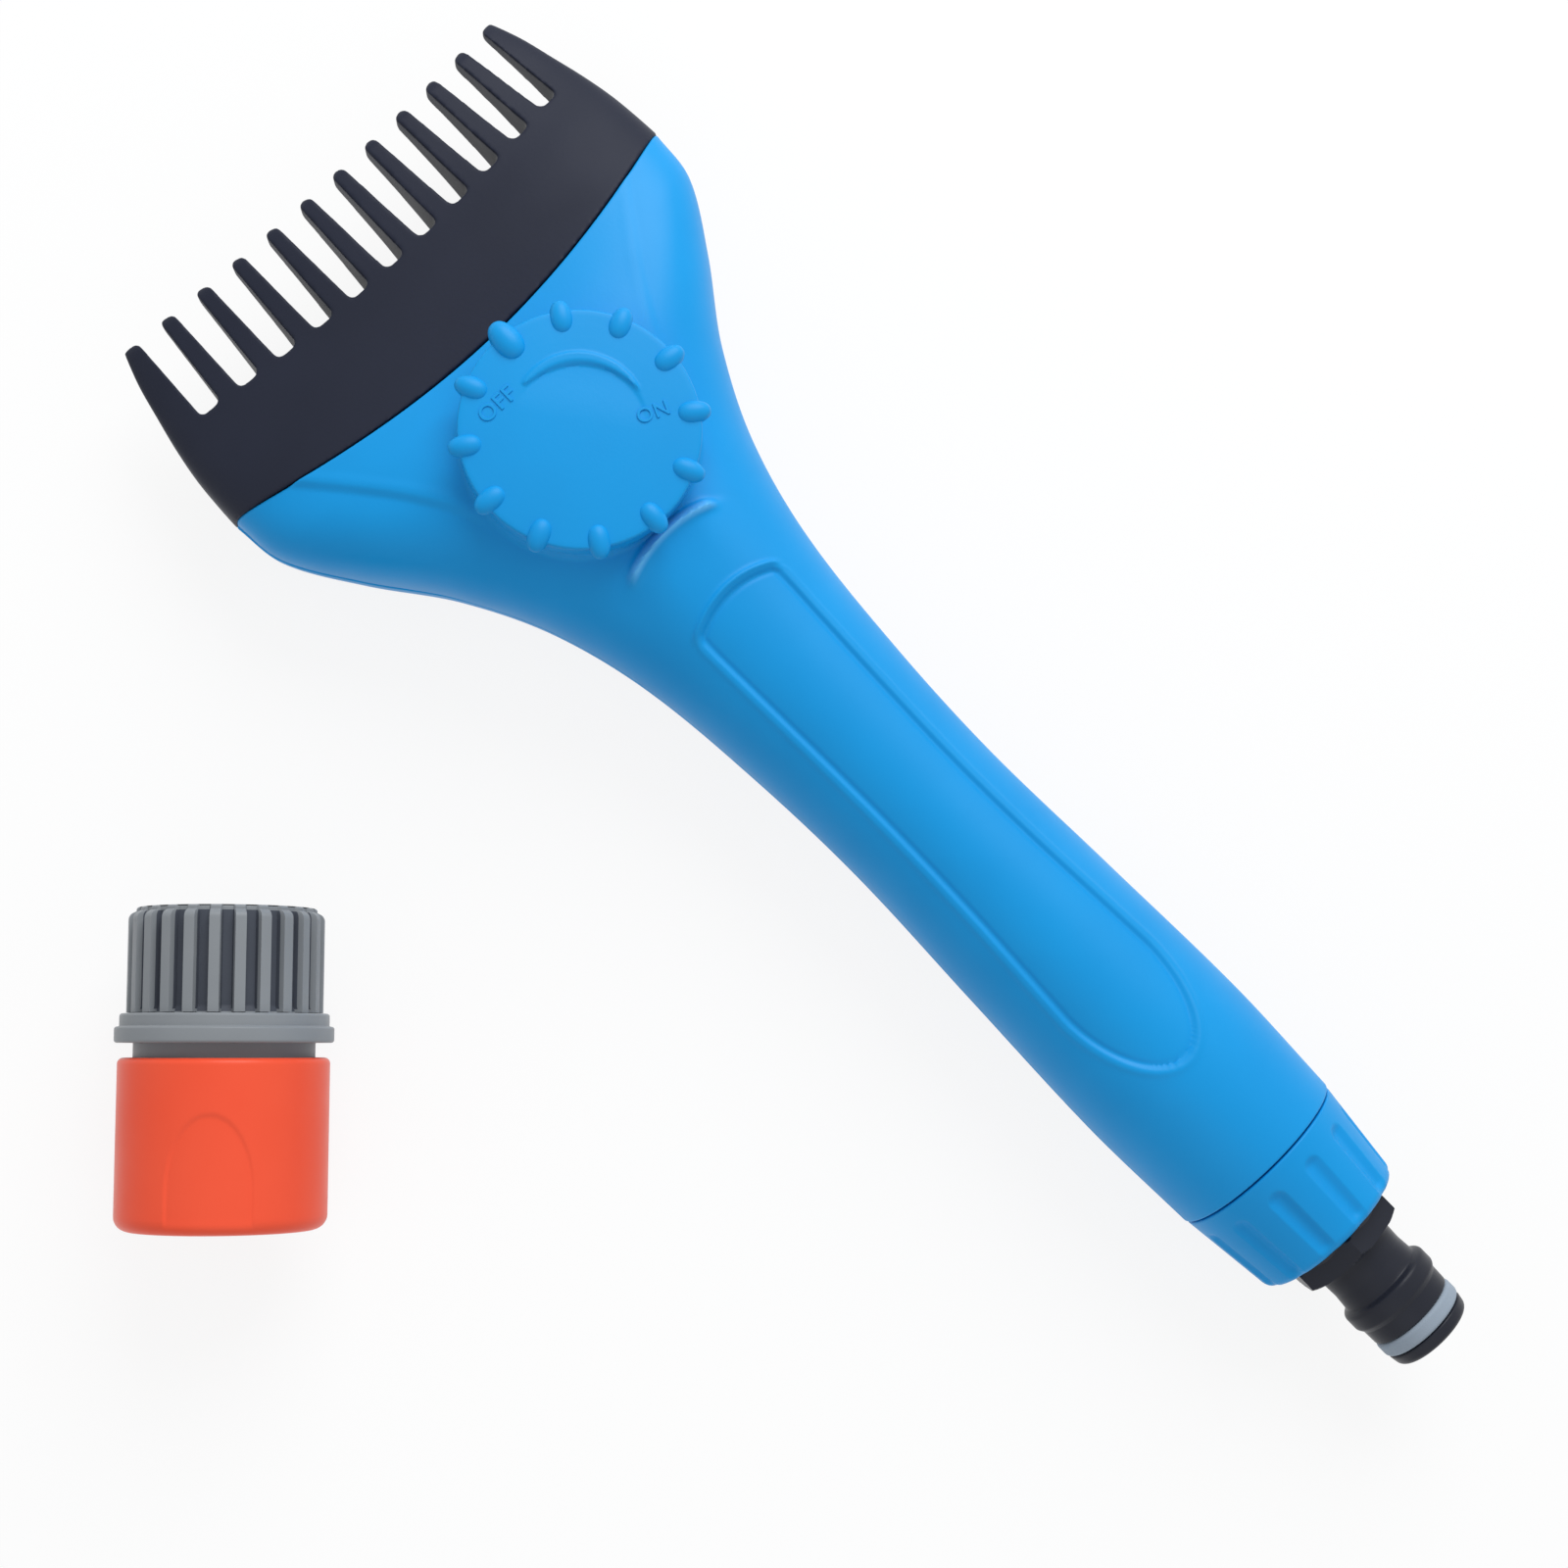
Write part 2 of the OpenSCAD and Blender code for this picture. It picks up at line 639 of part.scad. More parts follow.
// Supply tube: straight at both ends, with a bend and a bend back between the two levels
rise = axis_z - inlet_z;
bend_a = acos(1 - rise / (2 * tube_bend_r));
bend_run = tube_bend_r * sin(bend_a);
bend_start = barb_end - 3;
tail_y = -handle_l;
tube_tail = tail_y + 9;
tube_front = barb_start - 1.2;
bend_steps = 7;
tube_sides = 24;
module supply_tube() {
    // Each ring: its place along Y, its height and its lean
    path = concat([[tube_front, inlet_z, 0]],
        [for (k = [0 : bend_steps]) let (a = bend_a * k / bend_steps)
            [bend_start - tube_bend_r * sin(a), inlet_z + tube_bend_r * (1 - cos(a)), a]],
        [for (k = [bend_steps - 1 : -1 : 0]) let (a = bend_a * k / bend_steps)
            [bend_start - 2 * bend_run + tube_bend_r * sin(a), axis_z - tube_bend_r * (1 - cos(a)), a]],
        [[tube_tail, axis_z, 0]]);
    n = tube_sides;
    wall_ring = function (p, r) [for (k = [0 : n - 1]) let (a = 360 * k / n)
        [r * cos(a), p[0] + r * sin(a) * sin(p[2]), p[1] + r * sin(a) * cos(p[2])]];
    outside = [for (p = path) each wall_ring(p, tube_d / 2)];
    inside = [for (p = path) each wall_ring(p, tube_bore / 2)];
    m = len(outside);
    skin = bands(len(path), n);
    last = (len(path) - 1) * n;
    rim = [for (k = [0 : n - 1]) let (j = (k + 1) % n) each [[k, m + k, m + j], [k, m + j, j]]];
    color("lightgray")
        polyhedron(concat(outside, inside), concat(skin,
            [for (f = skin) [f[0] + m, f[2] + m, f[1] + m]], rim,
            [for (f = rim) [f[0] + last, f[2] + last, f[1] + last]]));
}

// Clamp rings with a small ear, over each end of the tube
clamp_w = 5;
clamp_t = 0.9;
module clamp(y, z) {
    difference() {
        union() {
            bar_y(tube_d + 2 * (clamp_t + fit), y, y + clamp_w, z);
            block([-2, y, z + tube_d / 2], [2, y + clamp_w, z + tube_d / 2 + 2.4]);
        }
        bar_y(tube_d + 2 * fit, y - eps, y + clamp_w + eps, z);
        block([-0.8, y - eps, z + tube_d / 2 + 1], [0.8, y + clamp_w + eps, z + tube_d / 2 + 3]);
    }
}
module hose_clamps() {
    color("silver") {
        clamp(barb_end + 3, inlet_z);
        clamp(tube_tail + 2.5, axis_z);
    }
}

// Tail piece: rear barb, flange clamped in the handle's end, tube and captive lip in the collar
flange_y = tail_y + 2.4;
flange_t = 3.4;
tail_tube_d = 17;
lip_d = 19.6;
lip_t = 1.6;
lip_reach = 6.4;
tail_barb_l = 11;
lip_y = tail_y - lip_reach;
collar_y = tail_y - 0.3;
module tail_piece() {
    color("whitesmoke")
        difference() {
            union() {
                bar_y(tail_d - 2 * wall - 0.4, flange_y, flange_y + flange_t, axis_z);
                bar_y(tube_bore - 0.1, flange_y + eps, tube_tail + tail_barb_l, axis_z);
                bar_y(tail_tube_d, lip_y, flange_y + eps, axis_z);
                bar_y(lip_d, lip_y, lip_y + lip_t, axis_z);
            }
            bar_y(inlet_bore, lip_y - eps, tube_tail + tail_barb_l + eps, axis_z);
        }
}

// Swivel collar: held behind the lip, threaded inside toward its free end
collar_ledge = lip_y + lip_t + 0.1;
collar_end = collar_y - collar_l;
collar_rib_turn = 10.5;
rib_d = 2.4;
module collar_rib(a) {
    translate([0, 0, axis_z])
        rotate([0, a, 0])
            translate([0, collar_end + 1.6, collar_end_d / 2 - 0.6])
                rotate([-90 + atan((collar_d - collar_end_d) / 2 / collar_l), 0, 0])
                    cylinder(d = rib_d, h = collar_l * 0.72, $fn = 24);
}
module end_collar() {
    color("dodgerblue")
        difference() {
            union() {
                translate([0, collar_y, axis_z])
                    rotate([90, 0, 0])
                        rotate_extrude()
                            polygon(concat([[0, 0], [collar_d / 2, 0]],
                                arc(collar_end_d / 2 - 1.8, collar_l - 1.8, 1.8, 0, 90),
                                [[0, collar_l]]));
                for (k = [0 : collar_rib_n - 1])
                    collar_rib(collar_rib_turn + 360 * k / collar_rib_n);
            }
            bar_y(tail_tube_d + 2 * fit, collar_end - eps, collar_y + eps, axis_z);
            bar_y(thread_d + 2 * fit, collar_end - eps, collar_ledge, axis_z);
        }
}

seal_t = 1.8;
nipple_y = lip_y - seal_t - 0.1;
module inlet_seal() {
    color("#202020")
        difference() {
            bar_y(thread_d - 1.4, nipple_y + 0.05, lip_y - 0.05, axis_z);
            bar_y(nipple_bore, nipple_y - eps, lip_y + eps, axis_z);
        }
}

// Nipple, from the collar outward: thread, hexagon, neck, ridge, front with a groove, tip
hex_t = 4.4;
neck_end = collar_end - 0.3 - hex_t;
ridge_start = neck_end - 7.4;
ridge_t = 4.4;
front_l = 3;
tip_l = 2.5;
groove_start = ridge_start - ridge_t - front_l;
groove_t = 3.1;
nipple_end = groove_start - groove_t - tip_l;
groove_depth = 1.4;
nipple_ring_d = front_d + 0.3;
module nipple() {
    color("#24262e")
        difference() {
            union() {
                bar_y(thread_d, neck_end + eps, nipple_y, axis_z);
                translate([0, neck_end, axis_z])
                    rotate([-90, 30, 0])
                        cylinder(d = hex_w / cos(30), h = hex_t, $fn = 6);
                bar_y(neck_pin_d, ridge_start - eps, neck_end + eps, axis_z);
                translate([0, ridge_start, axis_z])
                    rotate([90, 0, 0])
                        rotate_extrude()
                            polygon(concat([[0, 0], [neck_pin_d / 2, 0]],
                                arc(ridge_d / 2 - 1, 1.3, 1, -80, 0),
                                arc(ridge_d / 2 - 1, ridge_t - 1.5, 1, 0, 60),
                                [[front_d / 2, ridge_t], [0, ridge_t]]));
                bar_y(front_d, groove_start, ridge_start - ridge_t + eps, axis_z);
                bar_y(front_d - 2 * groove_depth, nipple_end + 1, groove_start + eps, axis_z);
                translate([0, groove_start - groove_t, axis_z])
                    rotate([90, 0, 0])
                        cylinder(d1 = front_d, d2 = front_d - 1, h = tip_l);
            }
            bar_y(nipple_bore, nipple_end - eps, nipple_y + eps, axis_z);
        }
}

module nipple_o_ring() {
    color("#9aa4b0")
        translate([0, groove_start, axis_z])
            rotate([90, 0, 0])
                rotate_extrude()
                    polygon(concat([[front_d / 2 - groove_depth + 0.02, 0.1]],
                        arc(nipple_ring_d / 2 - 0.8, 0.9, 0.8, -90, 0, 4),
                        arc(nipple_ring_d / 2 - 0.8, groove_t - 0.9, 0.8, 0, 90, 4),
                        [[front_d / 2 - groove_depth + 0.02, groove_t - 0.1]]));
}

// The coupling lies on the table on its flange, its thread end toward the comb side
coupling_turn = 45.4;
table_gap = 0.1;
module lay_coupling() {
    translate([coupling_x, coupling_y, flange_d / 2 + table_gap])
        rotate([0, 0, coupling_turn])
            rotate([0, 90, 0])
                translate([0, 0, -coupling_l / 2])
                    children();
}
barrel_d = 24.4;
lip_h = 2.2;
lip_bore = 20.4;
barrel_low = lip_h + sleeve_travel + 0.4;
neck_ring_d = 29.4;
neck_low = 27;
flange_low = sleeve_l + sleeve_travel + 0.4;
flange_t1 = 2.6;
flange_t2 = 2.2;
ring_low = flange_low + flange_t1 + flange_t2;
thread_floor = ring_low + 1.4;
jaw_low = barrel_low + 1.2;
jaw_h = 3.6;
jaw_w = 7;
mouth_d = ridge_d + 0.5;
mouth_top = 14.2;
socket_top = 24;
coupling_bore = 7.4;
ring_rib_w = 1.5;
ring_rib_h = 1.25;
module coupling_body() {
    color("gray")
        lay_coupling()
            difference() {
                union() {
                    bar_z(barrel_d, barrel_low, neck_low + eps);
                    bar_z(neck_ring_d, neck_low, flange_low + eps);
                    bar_z(flange_d, flange_low, flange_low + flange_t1);
                    bar_z(flange_d - 1.6, flange_low + eps, ring_low);
                    bar_z(ring_d, ring_low - eps, coupling_l);
                    for (k = [0 : ring_rib_n - 1])
                        rotate([0, 0, 360 * k / ring_rib_n])
                            block([ring_d / 2 - 0.6, -ring_rib_w / 2, ring_low - eps],
                                [ring_d / 2 + ring_rib_h, ring_rib_w / 2, coupling_l - 0.8]);
                }
                difference() {
                    bar_z(tap_d, thread_floor, coupling_l + eps);
                    bar_z(inner_tube_d, thread_floor - eps, coupling_l - 1);
                }
                bar_z(coupling_bore, socket_top - eps, coupling_l);
                bar_z(socket_d, barrel_low - eps, socket_top);
                bar_z(mouth_d, barrel_low - eps, mouth_top);
                for (a = [45 : 90 : 315])
                    rotate([0, 0, a])
                        block([mouth_d / 2 - 2, -jaw_w / 2, jaw_low],
                            [barrel_d, jaw_w / 2, jaw_low + jaw_h]);
            }
}

sleeve_grip_d = barrel_d + 2 * fit;
spring_floor = 16;
module release_sleeve() {
    color("tomato")
        lay_coupling()
            rotate_extrude()
                polygon(concat([[lip_bore / 2, 0]],
                    arc(sleeve_d / 2 - 2.4, 2.4, 2.4, -90, 0),
                    arc(sleeve_d / 2 - 1, sleeve_l - 1, 1, 0, 90),
                    [[neck_ring_d / 2 + 0.4, sleeve_l], [neck_ring_d / 2 + 0.4, spring_floor],
                        [sleeve_grip_d / 2, spring_floor], [sleeve_grip_d / 2, lip_h],
                        [lip_bore / 2, lip_h]]));
}

washer_t = 2;
module tap_washer() {
    color("#202020")
        lay_coupling()
            difference() {
                bar_z(tap_d - 1.2, thread_floor, thread_floor + washer_t);
                bar_z(inner_tube_d + 0.8, thread_floor - eps, thread_floor + washer_t + eps);
            }
}

// Claws in the barrel's windows, drawn back flush with the mouth of the socket
jaw_gap = 0.15;
module locking_jaws() {
    color("silver")
        lay_coupling()
            for (a = [45 : 90 : 315])
                rotate([0, 0, a])
                    intersection() {
                        difference() {
                            block([mouth_d / 2 - 1, -jaw_w / 2 + jaw_gap, jaw_low + jaw_gap],
                                [barrel_d / 2, jaw_w / 2 - jaw_gap, jaw_low + jaw_h - jaw_gap]);
                            bar_z(mouth_d + 2 * fit, jaw_low - eps, jaw_low + jaw_h + eps);
                        }
                        bar_z(barrel_d - 0.6, jaw_low, jaw_low + jaw_h);
                    }
}

// Spring behind the sleeve's shoulder: one unbroken coil of six-sided wire
spring_wire = 1;
spring_turns = 4;
spring_steps = 16;
spring_r = (barrel_d / 2 + neck_ring_d / 2 + 0.4) / 2;
spring_low = spring_floor + spring_wire / 2 + 0.1;
spring_high = neck_low - spring_wire / 2 - 0.1;
module sleeve_spring() {
    rings = spring_turns * spring_steps + 1;
    sides = 6;
    pts = [for (i = [0 : rings - 1], k = [0 : sides - 1])
        let (t = 360 * i / spring_steps, a = 360 * k / sides, r = spring_r + spring_wire / 2 * cos(a),
            h = spring_low + (spring_high - spring_low) * i / (rings - 1))
        [r * cos(t), r * sin(t), h + spring_wire / 2 * sin(a)]];
    faces = [for (i = [0 : rings - 2], k = [0 : sides - 1])
        let (a = i * sides + k, b = i * sides + (k + 1) % sides)
        each [[a, b, b + sides], [a, b + sides, a + sides]]];
    near = [for (k = [1 : sides - 2]) [0, k + 1, k]];
    last = (rings - 1) * sides;
    far = [for (k = [1 : sides - 2]) [last, last + k, last + k + 1]];
    color("silver")
        lay_coupling()
            polyhedron(pts, concat(faces, near, far));
}

upper_shell();
lower_shell();
shell_screws();
comb();
comb_screws();
manifold_cover();
manifold_gasket();
outlet_o_ring();
valve_housing();
valve_seat();
valve_stem();
stem_o_ring();
valve_cap();
cap_screws();
supply_tube();
hose_clamps();
dial();
end_collar();
nipple();
nipple_o_ring();
inlet_seal();
tail_piece();
coupling_body();
release_sleeve();
tap_washer();
locking_jaws();
sleeve_spring();
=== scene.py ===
import math

import bmesh
import bpy
import numpy as np
from mathutils import Matrix, Vector


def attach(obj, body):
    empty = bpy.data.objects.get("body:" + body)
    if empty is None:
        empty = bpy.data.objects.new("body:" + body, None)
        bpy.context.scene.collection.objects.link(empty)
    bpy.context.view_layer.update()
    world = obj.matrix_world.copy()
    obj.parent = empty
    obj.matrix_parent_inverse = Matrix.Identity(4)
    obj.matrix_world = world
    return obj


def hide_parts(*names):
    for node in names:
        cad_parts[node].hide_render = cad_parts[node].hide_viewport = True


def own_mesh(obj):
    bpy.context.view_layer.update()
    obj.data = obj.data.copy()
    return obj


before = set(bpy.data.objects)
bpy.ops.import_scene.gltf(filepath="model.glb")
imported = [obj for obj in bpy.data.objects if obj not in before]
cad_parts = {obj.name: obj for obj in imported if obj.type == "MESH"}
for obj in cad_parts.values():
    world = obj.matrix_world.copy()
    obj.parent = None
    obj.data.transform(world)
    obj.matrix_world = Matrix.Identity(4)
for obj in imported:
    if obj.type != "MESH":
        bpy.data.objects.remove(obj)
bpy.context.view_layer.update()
scene = bpy.context.scene


# numbers and curves: all lengths in mm until a mesh is made

def ease(value, low, high):  # 0 below low, 1 above high, smooth between
    t = np.clip((value - low) / (high - low), 0.0, 1.0)
    return t * t * (3.0 - 2.0 * t)


def bell(value, centre, width):
    return np.exp(-((value - centre) / width) ** 2)


def curveAt(table, s, column):  # smooth curve through one column of a station table
    t = np.asarray(table, float)
    s = np.asarray(s, float)
    count = len(t)
    before = np.maximum(np.arange(count) - 1, 0)
    after = np.minimum(np.arange(count) + 1, count - 1)
    slope = (t[after, column] - t[before, column]) / (t[after, 0] - t[before, 0])
    i = np.clip(np.searchsorted(t[:, 0], s) - 1, 0, count - 2)
    h = t[i + 1, 0] - t[i, 0]
    u = (s - t[i, 0]) / h
    return ((2 * u**3 - 3 * u**2 + 1) * t[i, column] + (u**3 - 2 * u**2 + u) * h * slope[i]
            + (3 * u**2 - 2 * u**3) * t[i + 1, column] + (u**3 - u**2) * h * slope[i + 1])


# meshes

def addObject(name, data):
    piece = bpy.data.objects.new(name, data)
    scene.collection.objects.link(piece)
    return piece


def addMesh(name, points, faces, angle=34):  # points in mm
    mesh = bpy.data.meshes.new(name)
    mesh.from_pydata((np.asarray(points, float).reshape(-1, 3) * 0.001).tolist(), [], faces)
    mesh.update()
    piece = addObject(name, mesh)
    tidyNormals(piece, angle)
    return piece


def tidyNormals(piece, angle):
    work = bmesh.new()
    work.from_mesh(piece.data)
    bmesh.ops.recalc_face_normals(work, faces=work.faces)
    work.to_mesh(piece.data)
    work.free()
    piece.data.shade_smooth()
    piece.data.set_sharp_from_angle(angle=math.radians(angle))


def weld(piece, angle):  # points that meet on an axis become one
    work = bmesh.new()
    work.from_mesh(piece.data)
    bmesh.ops.remove_doubles(work, verts=work.verts, dist=1e-8)
    work.to_mesh(piece.data)
    work.free()
    tidyNormals(piece, angle)


def shownMesh(piece):  # a new mesh with the modifiers applied
    bpy.context.view_layer.update()
    shown = piece.evaluated_get(bpy.context.evaluated_depsgraph_get())
    return bpy.data.meshes.new_from_object(shown)


def applyModifiers(piece):
    mesh, old = shownMesh(piece), piece.data
    piece.modifiers.clear()
    piece.data = mesh
    bpy.data.meshes.remove(old)


def combine(piece, tool, how="DIFFERENCE"):  # cuts tool from piece, or joins it on
    step = piece.modifiers.new("combine", "BOOLEAN")
    step.operation = how
    step.solver = "MANIFOLD"
    step.object = tool
    applyModifiers(piece)
    bpy.data.objects.remove(tool)


def gather(piece, extra):  # adds a closed body to the piece without cutting either
    work = bmesh.new()
    work.from_mesh(piece.data)
    work.from_mesh(extra.data)
    work.to_mesh(piece.data)
    work.free()
    bpy.data.objects.remove(extra)


def quads(rows, columns, start=0, closed=False):  # faces between the rows of a grid of points
    last = columns if closed else columns - 1
    i, j = np.meshgrid(np.arange(rows - 1), np.arange(last), indexing="ij")
    k = (j + 1) % columns
    a, b = start + i * columns, start + (i + 1) * columns
    return np.stack([a + j, a + k, b + k, b + j], axis=-1).reshape(-1, 4).tolist()


def sheetSolid(name, outer, inner, step):  # a wall between a fine skin and a coarser lining
    rows, columns = outer.shape[:2]
    r, c = inner.shape[:2]
    skin = np.arange(rows * columns).reshape(rows, columns)
    lining = skin.size + np.arange(r * c).reshape(r, c)
    faces = quads(rows, columns) + quads(r, c, skin.size)
    for k in range(c - 1):
        run = slice(k * step, (k + 1) * step + 1)
        for i in (0, -1):
            faces.append(skin[i, run].tolist() + lining[i, [k + 1, k]].tolist())
    for k in range(r - 1):
        run = slice(k * step, (k + 1) * step + 1)
        for j in (0, -1):
            faces.append(skin[run, j].tolist() + lining[[k + 1, k], j].tolist())
    return addMesh(name, np.concatenate([outer.reshape(-1, 3), inner.reshape(-1, 3)]), faces)


def roundedLine(corners, closed, arcStep=12):  # corners as (radius, height, fillet)
    line = []
    count = len(corners)
    for n, (r, h, fillet) in enumerate(corners):
        here = np.array([r, h], float)
        if fillet <= 0 or (not closed and n in (0, count - 1)):
            line.append(here)
            continue
        a = np.array(corners[n - 1][:2], float) - here
        b = np.array(corners[(n + 1) % count][:2], float) - here
        la, lb = np.linalg.norm(a), np.linalg.norm(b)
        a, b = a / la, b / lb
        half = math.acos(np.clip(a @ b, -1, 1)) / 2
        reach = min(fillet / math.tan(half), la * 0.49, lb * 0.49)
        radius = reach * math.tan(half)
        centre = here + (a + b) / np.linalg.norm(a + b) * radius / math.sin(half)
        start = np.array(here + a * reach) - centre
        end = np.array(here + b * reach) - centre
        sweep = math.atan2(start[0] * end[1] - start[1] * end[0], start @ end)
        steps = max(2, int(abs(math.degrees(sweep)) / arcStep) + 1)
        for k in range(steps + 1):
            t = sweep * k / steps
            line.append(centre + np.array([start[0] * math.cos(t) - start[1] * math.sin(t),
                                           start[0] * math.sin(t) + start[1] * math.cos(t)]))
    return np.array(line)


def densify(line, closed, spacing, where=None):
    result = []
    count = len(line)
    for n in range(count if closed else count - 1):
        a, b = line[n], line[(n + 1) % count]
        middle = (a + b) / 2
        pieces = 1
        if where is None or where(middle[0], middle[1]):
            pieces = max(1, int(np.linalg.norm(b - a) / spacing))
        for k in range(pieces):
            result.append(a + (b - a) * k / pieces)
    if not closed:
        result.append(line[-1])
    return np.array(result)


def turned(name, corners, sectors, spacing=0.0, where=None, shape=None, place=None, angle=34):
    # a body of revolution round Z; shape(r, h, theta) gives the changed r and h
    closed = min(corners[0][0], corners[-1][0]) > 1e-6
    line = roundedLine(corners, closed)
    if spacing:
        line = densify(line, closed, spacing, where)
    theta = np.linspace(0, 2 * math.pi, sectors, endpoint=False)
    r = np.repeat(line[:, :1], sectors, axis=1)
    h = np.repeat(line[:, 1:], sectors, axis=1)
    if shape:
        r, h = shape(r, h, theta[None, :])
    points = np.stack([r * np.cos(theta), r * np.sin(theta), h], axis=-1)
    rows = len(line)
    faces = quads(rows, sectors, 0, True)
    if closed:
        a = (rows - 1) * sectors
        faces += [[a + j, a + (j + 1) % sectors, (j + 1) % sectors, j] for j in range(sectors)]
    piece = addMesh(name, points, faces, angle)
    if not closed:  # the ends on the axis close to one point each
        weld(piece, angle)
    if place is not None:
        piece.data.transform(place)
    return piece


def moved(x, y, z):  # in mm
    return Matrix.Translation((x * 0.001, y * 0.001, z * 0.001))


def spun(degrees, axis="Z"):
    return Matrix.Rotation(math.radians(degrees), 4, axis)


def alongY(y, z):  # turns a piece made round Z so that its height runs toward the hose end
    return moved(0, y, z) @ spun(90, "X")


def prism(name, outline, low, high):
    n = len(outline)
    points = [(x, y, z) for z in (low, high) for x, y in outline]
    faces = [[k, (k + 1) % n, n + (k + 1) % n, n + k] for k in range(n)]
    return addMesh(name, points, faces + [list(range(n)), list(range(n, 2 * n))])


def box(name, low, high):
    outline = [(low[0], low[1]), (high[0], low[1]), (high[0], high[1]), (low[0], high[1])]
    return prism(name, outline, low[2], high[2])


def rod(name, radius, low, high, x=0, y=0, sectors=64):
    return turned(name, [(0, low, 0), (radius, low, 0), (radius, high, 0), (0, high, 0)], sectors,
                  place=moved(x, y, 0))


# materials

def linear(code):  # sRGB hex to linear
    parts = [int(code[k:k + 2], 16) / 255 for k in (0, 2, 4)]
    return [c / 12.92 if c <= 0.04045 else ((c + 0.055) / 1.055) ** 2.4 for c in parts] + [1.0]


def startTree(owner):
    owner.use_nodes = True
    owner.node_tree.nodes.clear()
    return owner.node_tree


def addNode(tree, kind, values=None, links=None, **settings):
    node = tree.nodes.new(kind)
    for key, value in settings.items():
        setattr(node, key, value)
    for key, value in (values or {}).items():
        node.inputs[key].default_value = value
    for key, source in (links or {}).items():
        tree.links.new(source, node.inputs[key])
    return node


def perMm(size):  # noise scale that gives features of that many mm
    return 1000.0 / size


def rubbedShare(tree, place, rub):  # 1 along the ridge's bowed crest, where a pale highlight is painted, 0 away from it
    spot = addNode(tree, "ShaderNodeSeparateXYZ", None, {"Vector": place}).outputs
    middle = {1: rub["x"] * 0.001}
    across = addNode(tree, "ShaderNodeMath", middle, {0: spot["X"]}, operation="SUBTRACT").outputs[0]
    squared = addNode(tree, "ShaderNodeMath", None, {0: across, 1: across}, operation="MULTIPLY").outputs
    bow = {1: 1000 * rub["bow"] / rub["half"] ** 2, 2: -rub["crestY"] * 0.001}
    behind = addNode(tree, "ShaderNodeMath", bow, {0: squared[0]}, operation="MULTIPLY_ADD").outputs
    offset = addNode(tree, "ShaderNodeMath", None, {0: behind[0], 1: spot["Y"]}, operation="ADD").outputs
    away = addNode(tree, "ShaderNodeMath", None, {0: offset[0]}, operation="ABSOLUTE").outputs
    half, core, edge = rub["half"] * 0.001, rub["rubCore"] * 0.001, rub["rubWidth"] * 0.001
    fade = {"From Min": core, "From Max": edge, "To Min": 1.0, "To Max": 0.0}
    band = addNode(tree, "ShaderNodeMapRange", fade, {"Value": away[0]}, interpolation_type="SMOOTHSTEP")
    fade = {"From Min": (half * 0.75) ** 2, "From Max": half**2, "To Min": rub["rub"], "To Max": 0.0}
    ends = addNode(tree, "ShaderNodeMapRange", fade, {"Value": squared[0]}, interpolation_type="SMOOTHSTEP")
    both = {0: band.outputs["Result"], 1: ends.outputs["Result"]}
    return addNode(tree, "ShaderNodeMath", None, both, operation="MULTIPLY").outputs[0]


def mouldedMaterial(look):
    material = bpy.data.materials.new(look["name"])
    tree = startTree(material)
    place = addNode(tree, "ShaderNodeTexCoord").outputs["Object"]
    waves = {"Scale": perMm(look["flowMm"]), "Detail": 3.0, "Roughness": 0.5}
    flow = addNode(tree, "ShaderNodeTexNoise", waves, {"Vector": place}).outputs["Fac"]
    specks = {"Scale": perMm(look["grainMm"]), "Detail": 2.0}
    grain = addNode(tree, "ShaderNodeTexNoise", specks, {"Vector": place}).outputs["Fac"]
    span = {"From Min": 0.35, "From Max": 0.7, "To Min": 0.0, "To Max": look["flowShare"]}
    share = addNode(tree, "ShaderNodeMapRange", span, {"Value": flow}).outputs["Result"]
    shades = {"A": linear(look["colour"]), "B": linear(look["shade"])}
    body = addNode(tree, "ShaderNodeMix", shades, {"Factor": share}, data_type="RGBA").outputs["Result"]
    # painted highlight: a paler blue is mixed in along the ridge's crest
    if "rub" in look:
        mixed = {"Factor": rubbedShare(tree, place, look["rub"]), "A": body}
        pale = {"B": linear(look["rubbed"])}
        body = addNode(tree, "ShaderNodeMix", pale, mixed, data_type="RGBA").outputs["Result"]
    span = {"From Min": 0.3, "From Max": 0.7, "To Min": look["rough"] - 0.05, "To Max": look["rough"] + 0.05}
    rough = addNode(tree, "ShaderNodeMapRange", span, {"Value": flow}).outputs["Result"]
    relief = {"Strength": 1.0, "Distance": look["grainDepthMm"] * 0.001}
    bump = addNode(tree, "ShaderNodeBump", relief, {"Height": grain}).outputs["Normal"]
    shader = addNode(tree, "ShaderNodeBsdfPrincipled",
                     {"IOR": look["ior"], "Metallic": 0.0, "Specular IOR Level": look["gloss"]},
                     {"Base Color": body, "Roughness": rough, "Normal": bump})
    addNode(tree, "ShaderNodeOutputMaterial", None, {"Surface": shader.outputs["BSDF"]})
    return material


